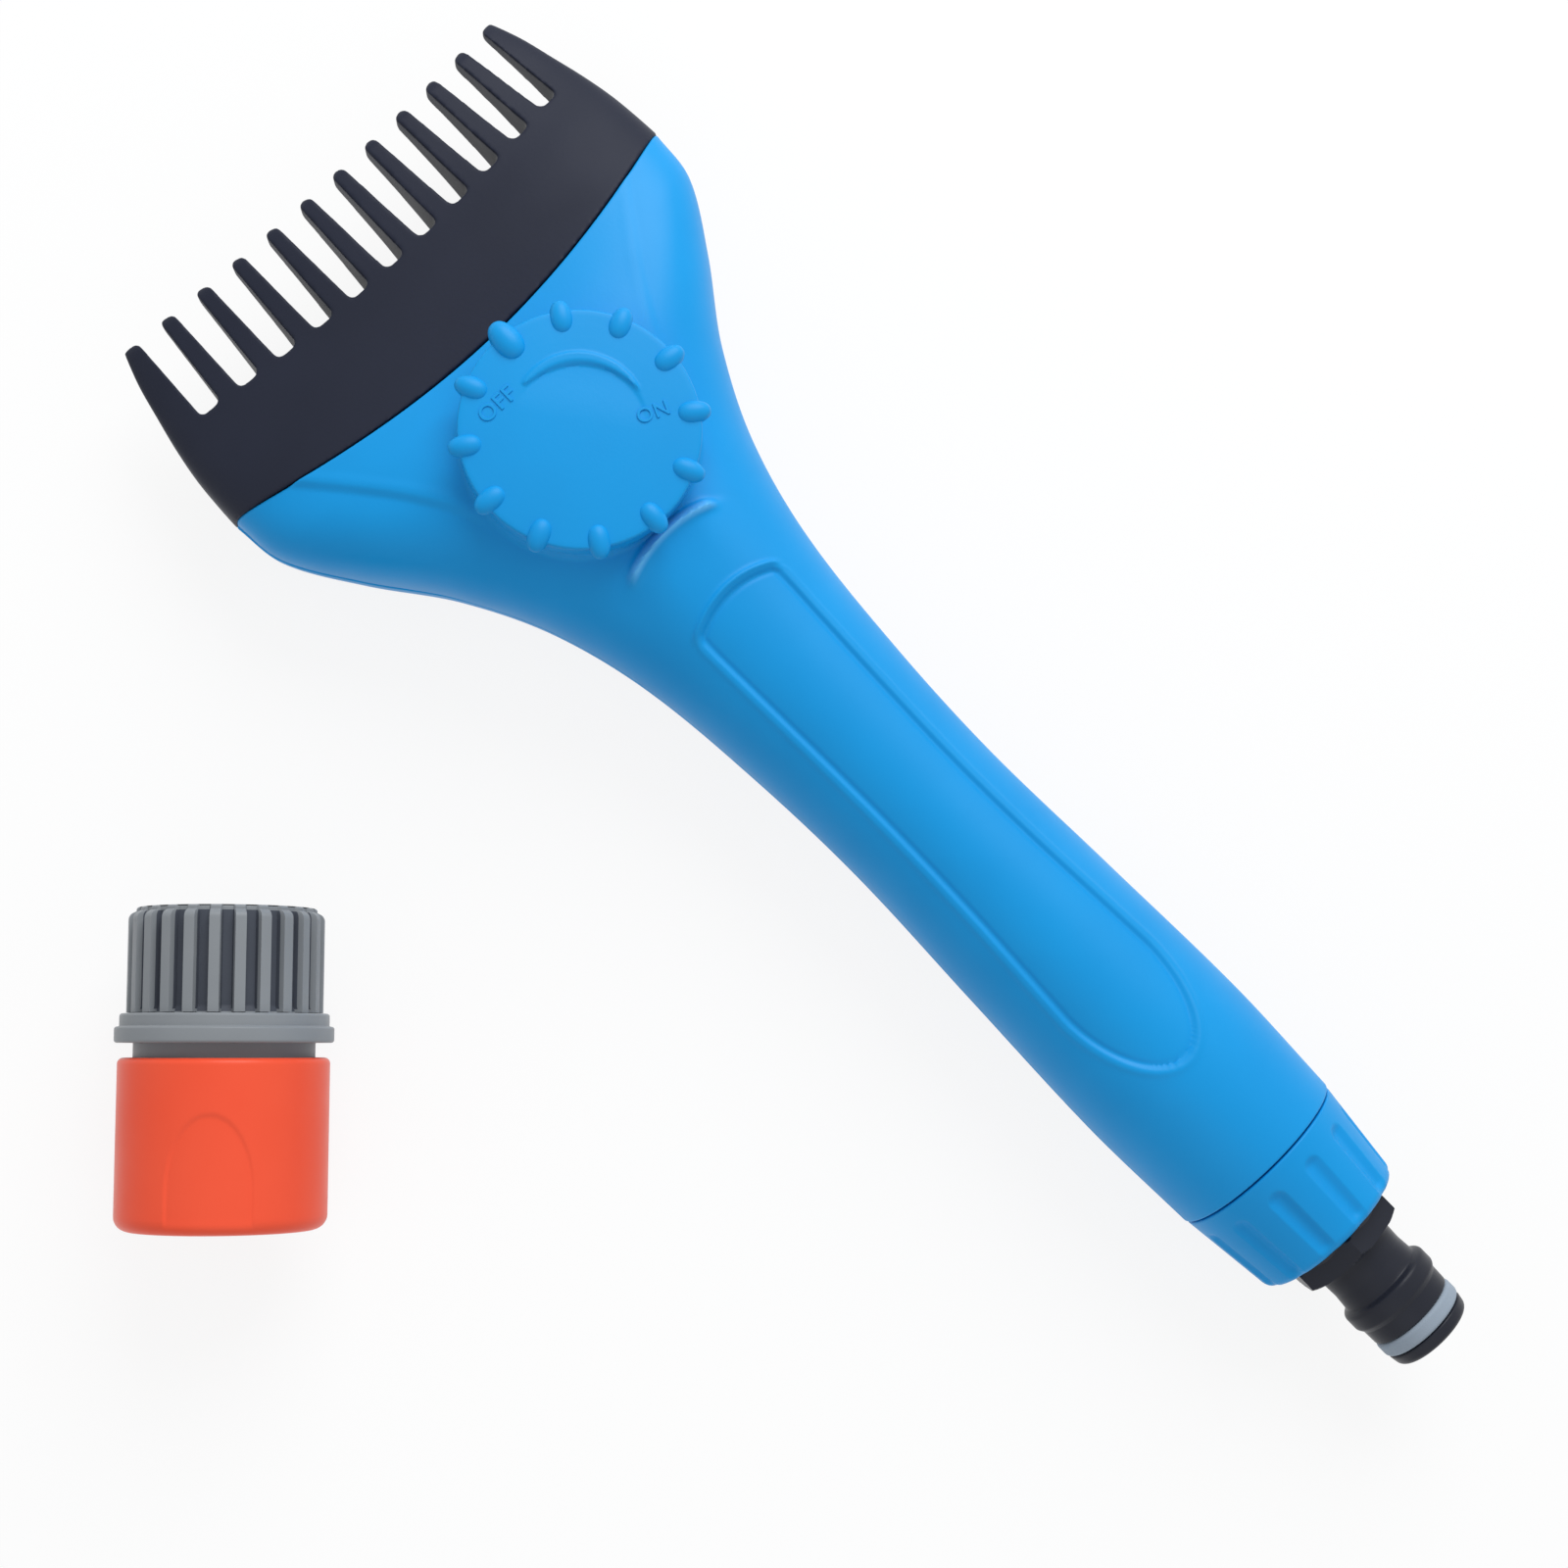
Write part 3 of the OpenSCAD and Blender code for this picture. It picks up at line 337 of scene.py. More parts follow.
def turnedSteel(look):
    material = bpy.data.materials.new(look["name"])
    tree = startTree(material)
    place = addNode(tree, "ShaderNodeTexCoord").outputs["Object"]
    drawn = {"Scale": perMm(look["lineMm"]), "Detail": 3.0}
    lines = addNode(tree, "ShaderNodeTexNoise", drawn, {"Vector": place}).outputs["Fac"]
    span = {"To Min": look["rough"] - 0.06, "To Max": look["rough"] + 0.08}
    rough = addNode(tree, "ShaderNodeMapRange", span, {"Value": lines}).outputs["Result"]
    relief = {"Strength": 1.0, "Distance": look["lineDepthMm"] * 0.001}
    bump = addNode(tree, "ShaderNodeBump", relief, {"Height": lines}).outputs["Normal"]
    shades = {"A": linear(look["colour"]), "B": linear(look["shade"])}
    colour = addNode(tree, "ShaderNodeMix", shades, {"Factor": lines}, data_type="RGBA").outputs["Result"]
    shader = addNode(tree, "ShaderNodeBsdfPrincipled", {"Metallic": 1.0},
                     {"Base Color": colour, "Roughness": rough, "Normal": bump})
    addNode(tree, "ShaderNodeOutputMaterial", None, {"Surface": shader.outputs["BSDF"]})
    return material


def finish(name, colour, shade, rough, ior, **more):  # any plastic or rubber
    look = {"name": name, "colour": colour, "shade": shade, "rough": rough, "ior": ior, "flowMm": 26.0,
            "flowShare": 0.35, "grainMm": 0.55, "grainDepthMm": 0.012, "gloss": 0.2}
    look.update(more)
    return mouldedMaterial(look)


# the spark grain of a real mould is about 0.1 mm; it is drawn at 0.55 mm so that it shows
# satin ABS: saturated, with broad soft highlights
absSkyBlue = finish("moulded_abs_sky_blue_satin", "0A95DC", "0787CC", 0.44, 1.52)
# waxy blue-black with a faint leather grain
polypropyleneInk = finish("moulded_polypropylene_ink_satin", "262A38", "1D202B", 0.46, 1.49, grainMm=0.7,
                          grainDepthMm=0.02, gloss=0.1)
# slicker than the comb
acetalBlack = finish("moulded_acetal_black_satin", "22252F", "1A1C24", 0.36, 1.48, flowMm=12.0)
# soft matt band
siliconeGrey = finish("moulded_silicone_blue_grey", "93A0AE", "8795A3", 0.55, 1.43, flowMm=8.0)
# cool satin grey, and a darker copy of it that paints shade into the grooves between the ribs
absGrey = finish("moulded_abs_mid_grey_satin", "868B90", "797E83", 0.42, 1.52, flowMm=14.0)
absGreyPaintedShade = finish("moulded_abs_mid_grey_painted_groove_shade", "4B505A", "41454E", 0.5, 1.52, flowMm=14.0, gloss=0.12)
# bright, slightly glossy
absOrange = finish("moulded_abs_orange_satin", "F2583A", "EC4C2E", 0.36, 1.52, flowMm=18.0)
acetalNatural = finish("moulded_acetal_natural", "E2E1DA", "D6D5CD", 0.4, 1.48)  # milky white
ptfeIvory = finish("turned_ptfe_ivory", "E6E0CC", "DCD5BF", 0.5, 1.35)  # waxy white
acetalAmber = finish("moulded_acetal_amber", "C9731F", "B86718", 0.38, 1.48)  # dull orange
pvcMilky = finish("extruded_pvc_milky", "C9CDD1", "BDC2C7", 0.35, 1.53)  # soft cloudy tube
nitrileBlack = finish("moulded_nitrile_black", "1B1B1D", "151517", 0.62, 1.52)  # matt rubber
# bright with fine drawn lines
stainlessSteel = turnedSteel({"name": "cold_headed_stainless_steel", "colour": "B9B9BC", "shade": "A3A3A7",
                              "rough": 0.3, "lineMm": 0.3, "lineDepthMm": 0.004})
print("stage: materials")


def paint(piece, material):
    piece.data.materials.clear()
    piece.data.materials.append(material)


def ready(piece, material, body, slot, *nodes):
    paint(piece, material)
    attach(piece, body)
    if nodes:
        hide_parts(*nodes)


innerFinishes = [
    (stainlessSteel, "shell_screws comb_screws cap_screws hose_clamps locking_jaws sleeve_spring"),
    (acetalNatural, "manifold_cover valve_housing valve_cap tail_piece"), (acetalAmber, "valve_stem"),
    (nitrileBlack, "manifold_gasket outlet_o_ring stem_o_ring inlet_seal tap_washer"),
    (absSkyBlue, "upper_shell lower_shell dial end_collar"), (ptfeIvory, "valve_seat"),
    (pvcMilky, "supply_tube"), (polypropyleneInk, "comb"), (acetalBlack, "nipple"),
    (siliconeGrey, "nipple_o_ring"), (absGrey, "coupling_body"), (absOrange, "release_sleeve")]
for material, nodeNames in innerFinishes:
    for nodeName in nodeNames.split():
        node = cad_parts[nodeName]
        paint(node, material)
        node.data.shade_smooth()


# camera: places in mm, roll in degrees

view = {"place": (-71.7, -68.84, 451.76), "target": (-13.55, -63.82, 17), "roll": -44.09, "lens": 59.34,
        "sensor": 36.0, "nearest": 0.01}


def addCamera():
    data = bpy.data.cameras.new("camera")
    data.lens = view["lens"]
    data.sensor_width = view["sensor"]
    data.clip_start = view["nearest"]
    camera = addObject("camera", data)
    back = (Vector(view["place"]) - Vector(view["target"])).normalized()
    right = Vector((math.cos(math.radians(view["roll"])), math.sin(math.radians(view["roll"])), 0))
    right = (right - back * right.dot(back)).normalized()
    up = back.cross(right)
    turn = Matrix((right, up, back)).transposed().to_4x4()
    camera.matrix_world = Matrix.Translation(Vector(view["place"]) * 0.001) @ turn
    scene.camera = camera


addCamera()
print("stage: camera")


# handle shells

handle = {"axisZ": 17.0, "wall": 2.6, "headWidth": 99.0, "headUp": 18.4, "seamUp": 14.2, "seamY": 31.5,
          "seamBow": 8.7, "neckDia": 31.2, "gripDia": 34.6, "tailDia": 33.2, "length": 164.6, "edge": 0.4,
          "platformZ": 36.2, "platformRadius": 19.1, "platformFoot": 2.4, "hubHole": 6.4, "hubTop": 38,
          "topGrid": (0.55, 0.34, 297), "bottomGrid": (0.8, 0.7, 181)}  # spacing, fine spacing and columns


def bodyStations():
    neck, grip, tail = handle["neckDia"] / 2, handle["gripDia"] / 2, handle["tailDia"] / 2
    head, up, down = handle["headWidth"] / 2, handle["headUp"], handle["axisZ"] + 0.9
    seamUp, seamDown = handle["seamUp"], handle["seamUp"] - 0.2
    length, middle = handle["length"], (grip + neck) / 2
    return [  # place, half width, height above and below the parting plane, roundness, bow
        [-length, tail, tail, tail, 2, 0],
        [-length * 0.863, grip, grip, grip, 2, 0],
        [-length * 0.68, middle, middle, middle, 2, 0],
        [-length * 0.51, neck, neck, neck, 2, 0],
        [-60, neck + 0.9, neck + 0.5, neck + 0.8, 2.05, 0],
        [-36, neck + 3.4, neck + 1.5, handle["axisZ"] + 0.3, 2.15, 0],
        [-18, head - 25.7, up - 0.3, down, 2.3, 0],
        [-3, head - 18.2, up, down, 2.5, 0.6],
        [10, head - 8.7, up - 0.4, down - 0.3, 2.6, 3],
        [22, head - 1.4, seamUp + 2, seamDown + 1.8, 2.65, 6.3],
        [handle["seamY"], head, seamUp, seamDown, 2.7, handle["seamBow"]]]


# from the +X edge over the top (side 1) or the bottom (side -1) to the -X edge
def halfSection(table, s, side, inset, count=1201):
    half, up, down, roundness, bow = (float(curveAt(table, s, c)) for c in range(1, 6))
    arch = float(curveAt(table, s, 6)) if len(table[0]) > 6 else 0.0
    angle = np.linspace(0, math.pi, count)
    power = 2.0 / roundness
    x = (half - inset) * np.sign(np.cos(angle)) * np.abs(np.cos(angle)) ** power
    m = 1 - (x / half) ** 2
    tall = (up if side > 0 else down) - inset
    z = handle["axisZ"] + arch * m + side * tall * np.abs(np.sin(angle)) ** power
    return np.stack([x, s - bow * m, np.maximum(z, inset)], axis=1)


def skinGrid(table, rows, side, inset, columns):  # columns(length) gives the places along the section
    grid = []
    for s in rows:
        line = halfSection(table, s, side, inset)
        run = np.concatenate([[0], np.cumsum(np.linalg.norm(np.diff(line, axis=0), axis=1))])
        at = columns(run[-1])
        grid.append(np.stack([np.interp(at, run, line[:, k]) for k in range(3)], axis=1))
    return np.array(grid)


edgeSteps = np.array([0.0, 0.05, 0.12, 0.22, 0.36])


def spread(length, count):  # close steps at both edges and even ones between
    middle = np.linspace(0.6, length - 0.6, count - 2 * len(edgeSteps))
    return np.concatenate([edgeSteps, middle, length - edgeSteps[::-1]])


def edgeFall(distance, radius):  # how far a rounded edge falls away from the skin
    inside = np.clip(radius - distance, 0, radius)
    return radius - np.sqrt(radius**2 - inside**2)


def gridNormals(grid, side):
    normal = side * np.cross(np.gradient(grid, axis=0), np.gradient(grid, axis=1))
    return normal / np.linalg.norm(normal, axis=-1, keepdims=True)


gripPanel = {"headY": -34.8, "headBow": 2.6, "headHalf": 9.4, "endY": -142.3, "endCentre": -124.5,
             "corner": 1.5, "depth": 0.55, "wall": 0.6, "headWall": 0.2, "foot": 0.12, "lip": 0.16,
             "headLip": 0.38, "headLipHalf": 9.6, "closeRows": (-40, -32)}
# place along the handle and the panel's half width there
gripWidths = [[-124.5, 10.0], [-112, 9.35], [-101, 8.8], [-88, 8.45], [-76, 8.4], [-56, 8.8], [-34, 9.4]]


def gripDistance(x, y):  # below zero inside the panel's outline
    width = curveAt(gripWidths, np.clip(y, gripWidths[0][0], gripWidths[-1][0]), 1)
    sides = np.abs(x) - width
    head = y - (gripPanel["headY"] - gripPanel["headBow"] * (x / gripPanel["headHalf"]) ** 2)
    a, b = gripWidths[0][1], gripPanel["endCentre"] - gripPanel["endY"]
    v = y - gripPanel["endCentre"]
    size = np.sqrt((x / a) ** 2 + (v / b) ** 2) + 1e-6
    slope = np.sqrt((x / a**2) ** 2 + (v / b**2) ** 2) / size + 1e-6
    sides = np.where(v < 0, (size - 1) / slope, sides)
    k = gripPanel["corner"]
    rounded = np.hypot(np.maximum(sides + k, 0), np.maximum(head + k, 0))
    return np.minimum(np.maximum(sides, head), -k) + rounded, head


crease = {"depth": 0.6, "width": 1.5, "reach": 10.0, "rightShare": 0.4, "slant": 0.8, "lip": 0.12}
# place along the handle and the crease's distance from its middle
creaseLine = [[-12, 17.2], [3, 21.0], [12, 25.9], [20, 31.6], [27, 37.0], [32, 41.2]]
ridge = {"x": -1.0, "crestY": -20.9, "bow": 2.1, "half": 10.0, "height": 1.15, "width": 0.95, "slope": 1.3,
         "slopeHalf": 13.0, "run": 8.0, "rubCore": 0.4, "rubWidth": 1.3, "rub": 0.8}
# the shells' blue with a painted highlight: paler along the ridge's crest behind the dial
absSkyBluePaintedHighlight = finish("moulded_abs_sky_blue_rubbed_crest", "0A95DC", "0787CC", 0.44, 1.52, rub=ridge,
                          rubbed="62B8F2")


def upperRelief(x, y):  # height of the moulded relief over the plain skin
    d, head = gripDistance(x, y)
    wall = gripPanel["wall"] + gripPanel["headWall"] * ease(y, -42.0, -37.0)
    relief = -gripPanel["depth"] * ease(-d, 0.0, wall)
    relief -= gripPanel["foot"] * bell(d, -wall - 0.25, 0.35)
    relief += gripPanel["lip"] * bell(d, 0.6, 0.5)
    lip = gripPanel["headLip"] * bell(head, 0.7, 0.55)
    relief += lip * ease(gripPanel["headLipHalf"] - np.abs(x), -1.2, 1.2)
    line = curveAt(creaseLine, np.clip(y, creaseLine[0][0], creaseLine[-1][0]), 1)
    outside = (np.abs(x) - line) * crease["slant"]
    fade = ease(y, -8.0, 9.0) * np.where(x > 0, crease["rightShare"], 1.0)
    fold = crease["depth"] * fade * ease(outside, -0.2, crease["width"])
    relief -= fold * np.exp(-np.maximum(outside, 0) / crease["reach"])
    relief += crease["lip"] * fade * bell(outside, -0.8, 0.9)
    across = np.abs(x - ridge["x"])
    crest = ridge["crestY"] - ridge["bow"] * (across / ridge["half"]) ** 2
    relief += ridge["height"] * bell(y, crest, ridge["width"]) * ease(ridge["half"] + 0.4 - across, 0.0, 2.6)
    past = np.maximum(crest - y, 0)  # a long slope runs down from the ridge to the grip
    slope = ridge["slope"] * ease(crest - y, -1.4, 0.6) * np.exp(-past / ridge["run"])
    return relief + slope * ease(ridge["slopeHalf"] - across, 0.0, 9.0)


def handleRows(spacing, fineSpacing, step):  # the rows close up at the grip panel's bowed end
    low, high = -handle["length"], handle["seamY"]
    start, end = gripPanel["closeRows"]
    plain = np.linspace(low + 0.7, start, max(8, int((start - low) / spacing)))
    close = np.linspace(start, end, int((end - start) / (fineSpacing * 0.5)))[1:]
    fine = np.linspace(end, high - 0.7, max(8, int((high - end) / fineSpacing)))[1:]
    rows = np.concatenate([low + edgeSteps, plain, close, fine, high - edgeSteps[::-1]])
    while (len(rows) - 1) % step:
        rows = np.insert(rows, len(edgeSteps), (rows[len(edgeSteps) - 1] + rows[len(edgeSteps)]) / 2)
    return rows


def shellPiece(name, side, spacing, fineSpacing, columnCount, relief):
    table, step = bodyStations(), 4
    rows = handleRows(spacing, fineSpacing, step)
    outer = skinGrid(table, rows, side, 0.0, lambda length: spread(length, columnCount))
    normal = gridNormals(outer, side)
    runs = np.linalg.norm(np.diff(outer, axis=1), axis=-1)
    run = np.concatenate([np.zeros((len(rows), 1)), np.cumsum(runs, axis=1)], axis=1)
    edge = np.minimum(run, run[:, -1:] - run)
    ends = np.minimum(rows - rows[0], rows[-1] - rows)[:, None]
    fall = edgeFall(edge, handle["edge"]) + edgeFall(ends, handle["edge"])
    amount = -fall
    if relief:
        amount = amount + upperRelief(outer[..., 0], outer[..., 1])
    skin = outer + normal * amount[..., None]
    if side > 0:  # the round platform under the dial rises from the skin
        radius = np.hypot(skin[..., 0], skin[..., 1])
        r, foot = handle["platformRadius"], handle["platformFoot"]
        share = 1 - ease(radius, r - 0.9, r + foot * 0.5)
        skin[..., 2] += np.maximum(handle["platformZ"] - skin[..., 2], 0) * share
    inner = skinGrid(table, rows[::step], side, handle["wall"],
                     lambda length: spread(length, columnCount)[::step])
    return sheetSolid(name, skin, inner, step)


screw = {"boss": 3.4, "hole": 1.58, "pilotTop": 6.6, "well": 2.9, "mouth": 3.3, "mouthZ": 0.0, "seatZ": 12.0}
# x, y and how far each boss reaches from the parting plane, the same on both sides
screwPairs = [(26, 4, 12.6), (12, -40, 7.6), (11.4, -135, 7.6)]
screwSpots = [(s * x, y, reach) for x, y, reach in screwPairs for s in (-1, 1)]
combScrew = {"x": 32, "y": 22.2, "bossReach": 12.7, "bossTop": 10.45, "mouth": 4.3, "mouthZ": 1.9,
             "seatZ": 8.45, "holeTop": 11.5}
post = {"half": 2.5, "foot": 1.5, "boxX": 21, "boxY": (12.65, 14.65), "tubeY": (-98.76, -128.39),
        "tubeTop": 11.35, "padRadius": 10.5, "padZ": (2.0, 4.0)}


def screwWell(x, y, head, end):  # a well with a softened mouth, and the screw's hole above it
    mouth, mouthZ, seat = head["mouth"], head["mouthZ"], head["seatZ"]
    well, hole = screw["well"], screw["hole"]
    corners = [(0, -2, 0), (mouth, -2, 0), (mouth, mouthZ, 0.3), (well, mouthZ + 0.5, 0.3), (well, seat, 0),
               (hole, seat, 0), (hole, end, 0), (0, end, 0)]
    return turned("well", corners, 64, place=moved(x, y, 0))


def buildTop():
    axis, hub, hubTop = handle["axisZ"], handle["hubHole"], handle["hubTop"]
    top = shellPiece("handleTop", 1, *handle["topGrid"], True)
    for x, y, reach in screwSpots:
        combine(top, rod("boss", screw["boss"], axis, axis + reach, x, y), "UNION")
        combine(top, rod("pilot", screw["hole"], axis - 1, axis + screw["pilotTop"], x, y, 32))
    combine(top, turned("hubCut", [(0, axis, 0), (hub, axis, 0), (hub, hubTop, 0), (0, hubTop, 0)], 96))
    ready(top, absSkyBluePaintedHighlight, "handle", "blue_shell", "upper_shell")
    print("stage: upper shell", len(top.data.polygons))
    tidyNormals(top, 40)


def buildBottom():
    axis, half, foot = handle["axisZ"], post["half"], post["foot"]
    bottom = shellPiece("handleBottom", -1, *handle["bottomGrid"], False)
    for x, y, reach in screwSpots:
        combine(bottom, rod("boss", screw["boss"], axis - reach, axis, x, y), "UNION")
    low, high = post["boxY"]
    for s in (-1, 1):
        combine(bottom, rod("boss", screw["boss"], axis - combScrew["bossReach"], combScrew["bossTop"],
                            s * combScrew["x"], combScrew["y"]), "UNION")
        x = s * post["boxX"]
        combine(bottom, box("post", (x - half, low, foot), (x + half, high, axis - 0.02)), "UNION")
    combine(bottom, rod("pad", post["padRadius"], *post["padZ"]), "UNION")
    for y in post["tubeY"]:
        combine(bottom, box("post", (-half, y - 1, foot), (half, y + 1, post["tubeTop"])), "UNION")
    for x, y, reach in screwSpots:
        combine(bottom, screwWell(x, y, screw, axis + 1))
    for s in (-1, 1):
        combine(bottom, screwWell(s * combScrew["x"], combScrew["y"], combScrew, combScrew["holeTop"]))
    ready(bottom, absSkyBlue, "handle", "blue_shell", "lower_shell")
    print("stage: lower shell", len(bottom.data.polygons))
    tidyNormals(bottom, 40)


buildTop()
buildBottom()


# comb

comb = {"tipY": 66.0, "tipWidth": 85.2, "arch": 6.0, "gaps": 11, "rootPitch": 7.8, "tipPitch": 7.47,
        "rootGap": 4.1, "tipGap": 4.9, "rootY": 47.9, "rootSag": 4.0, "rootInset": 8.7, "tipSag": 3.4,
        "tipFall": 1.7, "tipRound": 2.2, "rootRound": 1.2, "seat": 0.15, "rows": 58, "tipRows": 9,
        "columns": 181, "nozzle": 0.8, "nozzleAt": (48.4, 19), "nozzleLength": 10.4, "voxelMm": 0.26,
        "smooth": 9,
        # low and high corners of the part that the shells hold and of the hollow for the water
        "spigot": ((-35.2, 18.5, 10.6), (35.2, handle["seamY"] + 3, 25.8)),
        "entry": ((-28.6, 18, 12.4), (28.6, 24.4, 24.1)),
        "chamber": ((-28.6, 23.9, 14.8), (28.6, 38.5, 23.4)),
        "gallery": ((-40, 31.5, 17), (40, 38.4, 21))}


def combStations():
    head, tip, arch, y0 = handle["headWidth"] / 2, comb["tipWidth"] / 2, comb["arch"], handle["seamY"]
    up, down, run = handle["seamUp"], handle["seamUp"] - 0.2, comb["tipY"] - y0
    return [  # place, half width, height above and below the middle, roundness, bow, arch
        [y0, head, up, down, 2.7, handle["seamBow"], 0],
        [y0 + run * 0.13, head - 0.2, up - 1.7, down - 1.6, 2.7, 7.4, arch * 0.1],
        [y0 + run * 0.3, head - 0.7, up - 4.6, down - 4.6, 2.8, 5.6, arch * 0.37],
        [y0 + run * 0.48, head - 1.8, up - 7.6, down - 8.2, 3, 4.2, arch * 0.6],
        [y0 + run * 0.65, tip + 3.7, 4.6, 3.6, 3.2, 3.7, arch * 0.78],
        [y0 + run * 0.83, tip + 2.1, 3.4, 2.6, 3.4, 3.4, arch * 0.92],
        [comb["tipY"], tip, 2.4, 2, 3.4, 3.2, arch]]


def gapCentre(k):  # the root's place, the gap's depth and its lean
    x = (k - (comb["gaps"] - 1) / 2) * comb["rootPitch"]
    half = handle["headWidth"] / 2 - comb["rootInset"]
    y = comb["rootY"] - comb["rootSag"] * (1 - (x / half) ** 2)
    tipLine = comb["tipY"] - comb["tipSag"] * (1 - (x / (comb["tipWidth"] / 2)) ** 2)
    lean = math.atan(x * (1 - comb["tipPitch"] / comb["rootPitch"]) / (comb["tipY"] - comb["rootY"]))
    return x, y, tipLine - y, lean


def gapOutline(depth):  # a rounded root, straight sides and a mouth that rounds the teeth's ends
    def arc(cx, cy, r, start, end, steps=10):
        turns = [math.radians(start + (end - start) * t / steps) for t in range(steps + 1)]
        return [(cx + r * math.cos(a), cy + r * math.sin(a)) for a in turns]

    root, half = comb["rootRound"], comb["tipGap"] / 2
    h, r = comb["rootGap"] / 2 - root, (comb["tipPitch"] - comb["tipGap"]) / 2 - 0.01
    right = arc(h, root, root, 270, 360) + arc(half + r, depth - r, r, 180, 90)
    right.append((half + r, depth + 8))
    return right + [(-x, y) for x, y in reversed(right)]


def buildComb():
    table = combStations()
    tip, reach = comb["tipY"], comb["tipRound"]
    rows = np.concatenate([np.linspace(handle["seamY"] + comb["seat"], tip - reach, comb["rows"]),
                           tip - reach * (1 - np.sin(np.linspace(0.0, math.pi / 2, comb["tipRows"])[1:]))])

    def even(length):
        return np.linspace(0, length, comb["columns"])

    top, bottom = skinGrid(table, rows, 1, 0.0, even), skinGrid(table, rows, -1, 0.0, even)
    middle = (top[..., 2] + bottom[..., 2]) / 2  # the teeth's ends are rounded in height too
    close = np.clip((rows - tip + reach) / reach, 0, 1)[:, None]
    share = 1 - comb["tipFall"] / reach * (1 - np.sqrt(1 - close**2))
    top[..., 2] = middle + (top[..., 2] - middle) * share
    bottom[..., 2] = middle + (bottom[..., 2] - middle) * share
    ring = np.concatenate([top[:, :-1], bottom[:, :0:-1]], axis=1)
    n = ring.shape[1]
    faces = quads(len(rows), n, 0, True)
    for a in (0, (len(rows) - 1) * n):  # both ends
        faces += [[a, a + 1, a + n - 1], [a + n // 2 - 1, a + n // 2, a + n // 2 + 1]]
        faces += [[a + k, a + k + 1, a + n - k - 1, a + n - k] for k in range(1, n // 2 - 1)]
    piece = addMesh("combHead", ring, faces)
    combine(piece, box("spigot", *comb["spigot"]), "UNION")
    for k in range(comb["gaps"]):
        x, y, depth, lean = gapCentre(k)
        cutter = prism("gap", gapOutline(depth), -1, 50)
        cutter.data.transform(moved(x, y, 0) @ Matrix.Rotation(lean, 4, "Z"))
        combine(piece, cutter)
    for hollow in ("entry", "chamber", "gallery"):
        combine(piece, box(hollow, *comb[hollow]))
    radius, length = comb["nozzle"], comb["nozzleLength"]
    for k in range(comb["gaps"]):
        place = moved(gapCentre(k)[0], *comb["nozzleAt"]) @ spun(90, "X")
        corners = [(0, 0, 0), (radius, 0, 0), (radius, length, 0), (0, length, 0)]
        combine(piece, turned("nozzle", corners, 24, place=place))
    remesh = piece.modifiers.new("soften", "REMESH")  # one even skin, so that every edge can be softened
    remesh.mode = "VOXEL"
    remesh.voxel_size = comb["voxelMm"] * 0.001 * 1.0
    remesh.use_smooth_shade = True
    smooth = piece.modifiers.new("smooth", "SMOOTH")
    smooth.factor = 0.5
    smooth.iterations = comb["smooth"]
    applyModifiers(piece)
    piece.data.shade_smooth()
    ready(piece, polypropyleneInk, "handle", "comb_black", "comb")
    print("stage: comb", len(piece.data.polygons))


buildComb()


# dial

dial = {"radius": 19.8, "rimZ": 41.0, "sideZ": 36.6, "dome": 0.9, "nubs": 12, "nubLength": 5.7,
        "nubWidth": 3.9, "nubHeight": 3.4, "nubRadius": 18.65, "firstNub": 85.3, "bigNub": 1.28,
        "arcRadius": 11.5, "arcStart": 100.0, "arcSweep": 114.0, "arcWidth": 2.1, "arcHeight": 0.38,
        "floor": 0.32, "floorTurn": 37, "wordRise": 0.07, "letterHalf": 0.1, "letterRound": 0.05,
        "letterSpace": 1.08}
# radius, height and fillet under the dial: the hollow, the hub and the socket for the stem
dialUnder = [(17.6, dial["sideZ"], 0.2), (17.6, 38.8, 0.4), (6.0, 38.8, 0.4), (6.0, 30.6, 0.3),
             (3.58, 30.6, 0.2), (3.58, 34.4, 0), (3.08, 34.4, 0), (3.08, 38.6, 0), (0, 38.6, 0)]
# piece, letters, their size, distance from the dial's axis, angle round it and lean
dialWords = [("offWord", "OFF", 3.8, 13.8, 120.7, -1), ("onWord", "ON", 3.4, 12.1, -31.5, -23)]


def dialTop(r, h, theta):  # a swelling arc round a floor that dips toward one side
    top = (h > dial["rimZ"] - 0.9) & (r < dial["radius"])
    angle = np.degrees(theta) + 0 * r
    turn = (dial["arcStart"] - angle) % 360
    turn = np.where(turn > 300, turn - 360, turn)
    share = np.clip(turn / dial["arcSweep"], 0, 1)
    taper = np.sin(np.pi * share ** 0.8) ** 0.7 * (turn > 0) * (turn < dial["arcSweep"])
    half = dial["arcWidth"] / 2 * taper
    band = 1 - ease(np.abs(r - dial["arcRadius"]), half - 0.25, half + 0.25)
    band = band * ease(half, 0.05, 0.4)
    x, y = r * np.cos(theta), r * np.sin(theta)
    slope = math.radians(dial["floorTurn"])
    side = x * math.cos(slope) + y * math.sin(slope)
    inside = 1 - ease(r, dial["arcRadius"] - 1.0, dial["arcRadius"] - 0.2)
    lower = dial["floor"] * inside * ease(side, 1.0, 10.0)
    return r, h + np.where(top, dial["arcHeight"] * band * ease(r, 3, 6) - lower, 0.0)


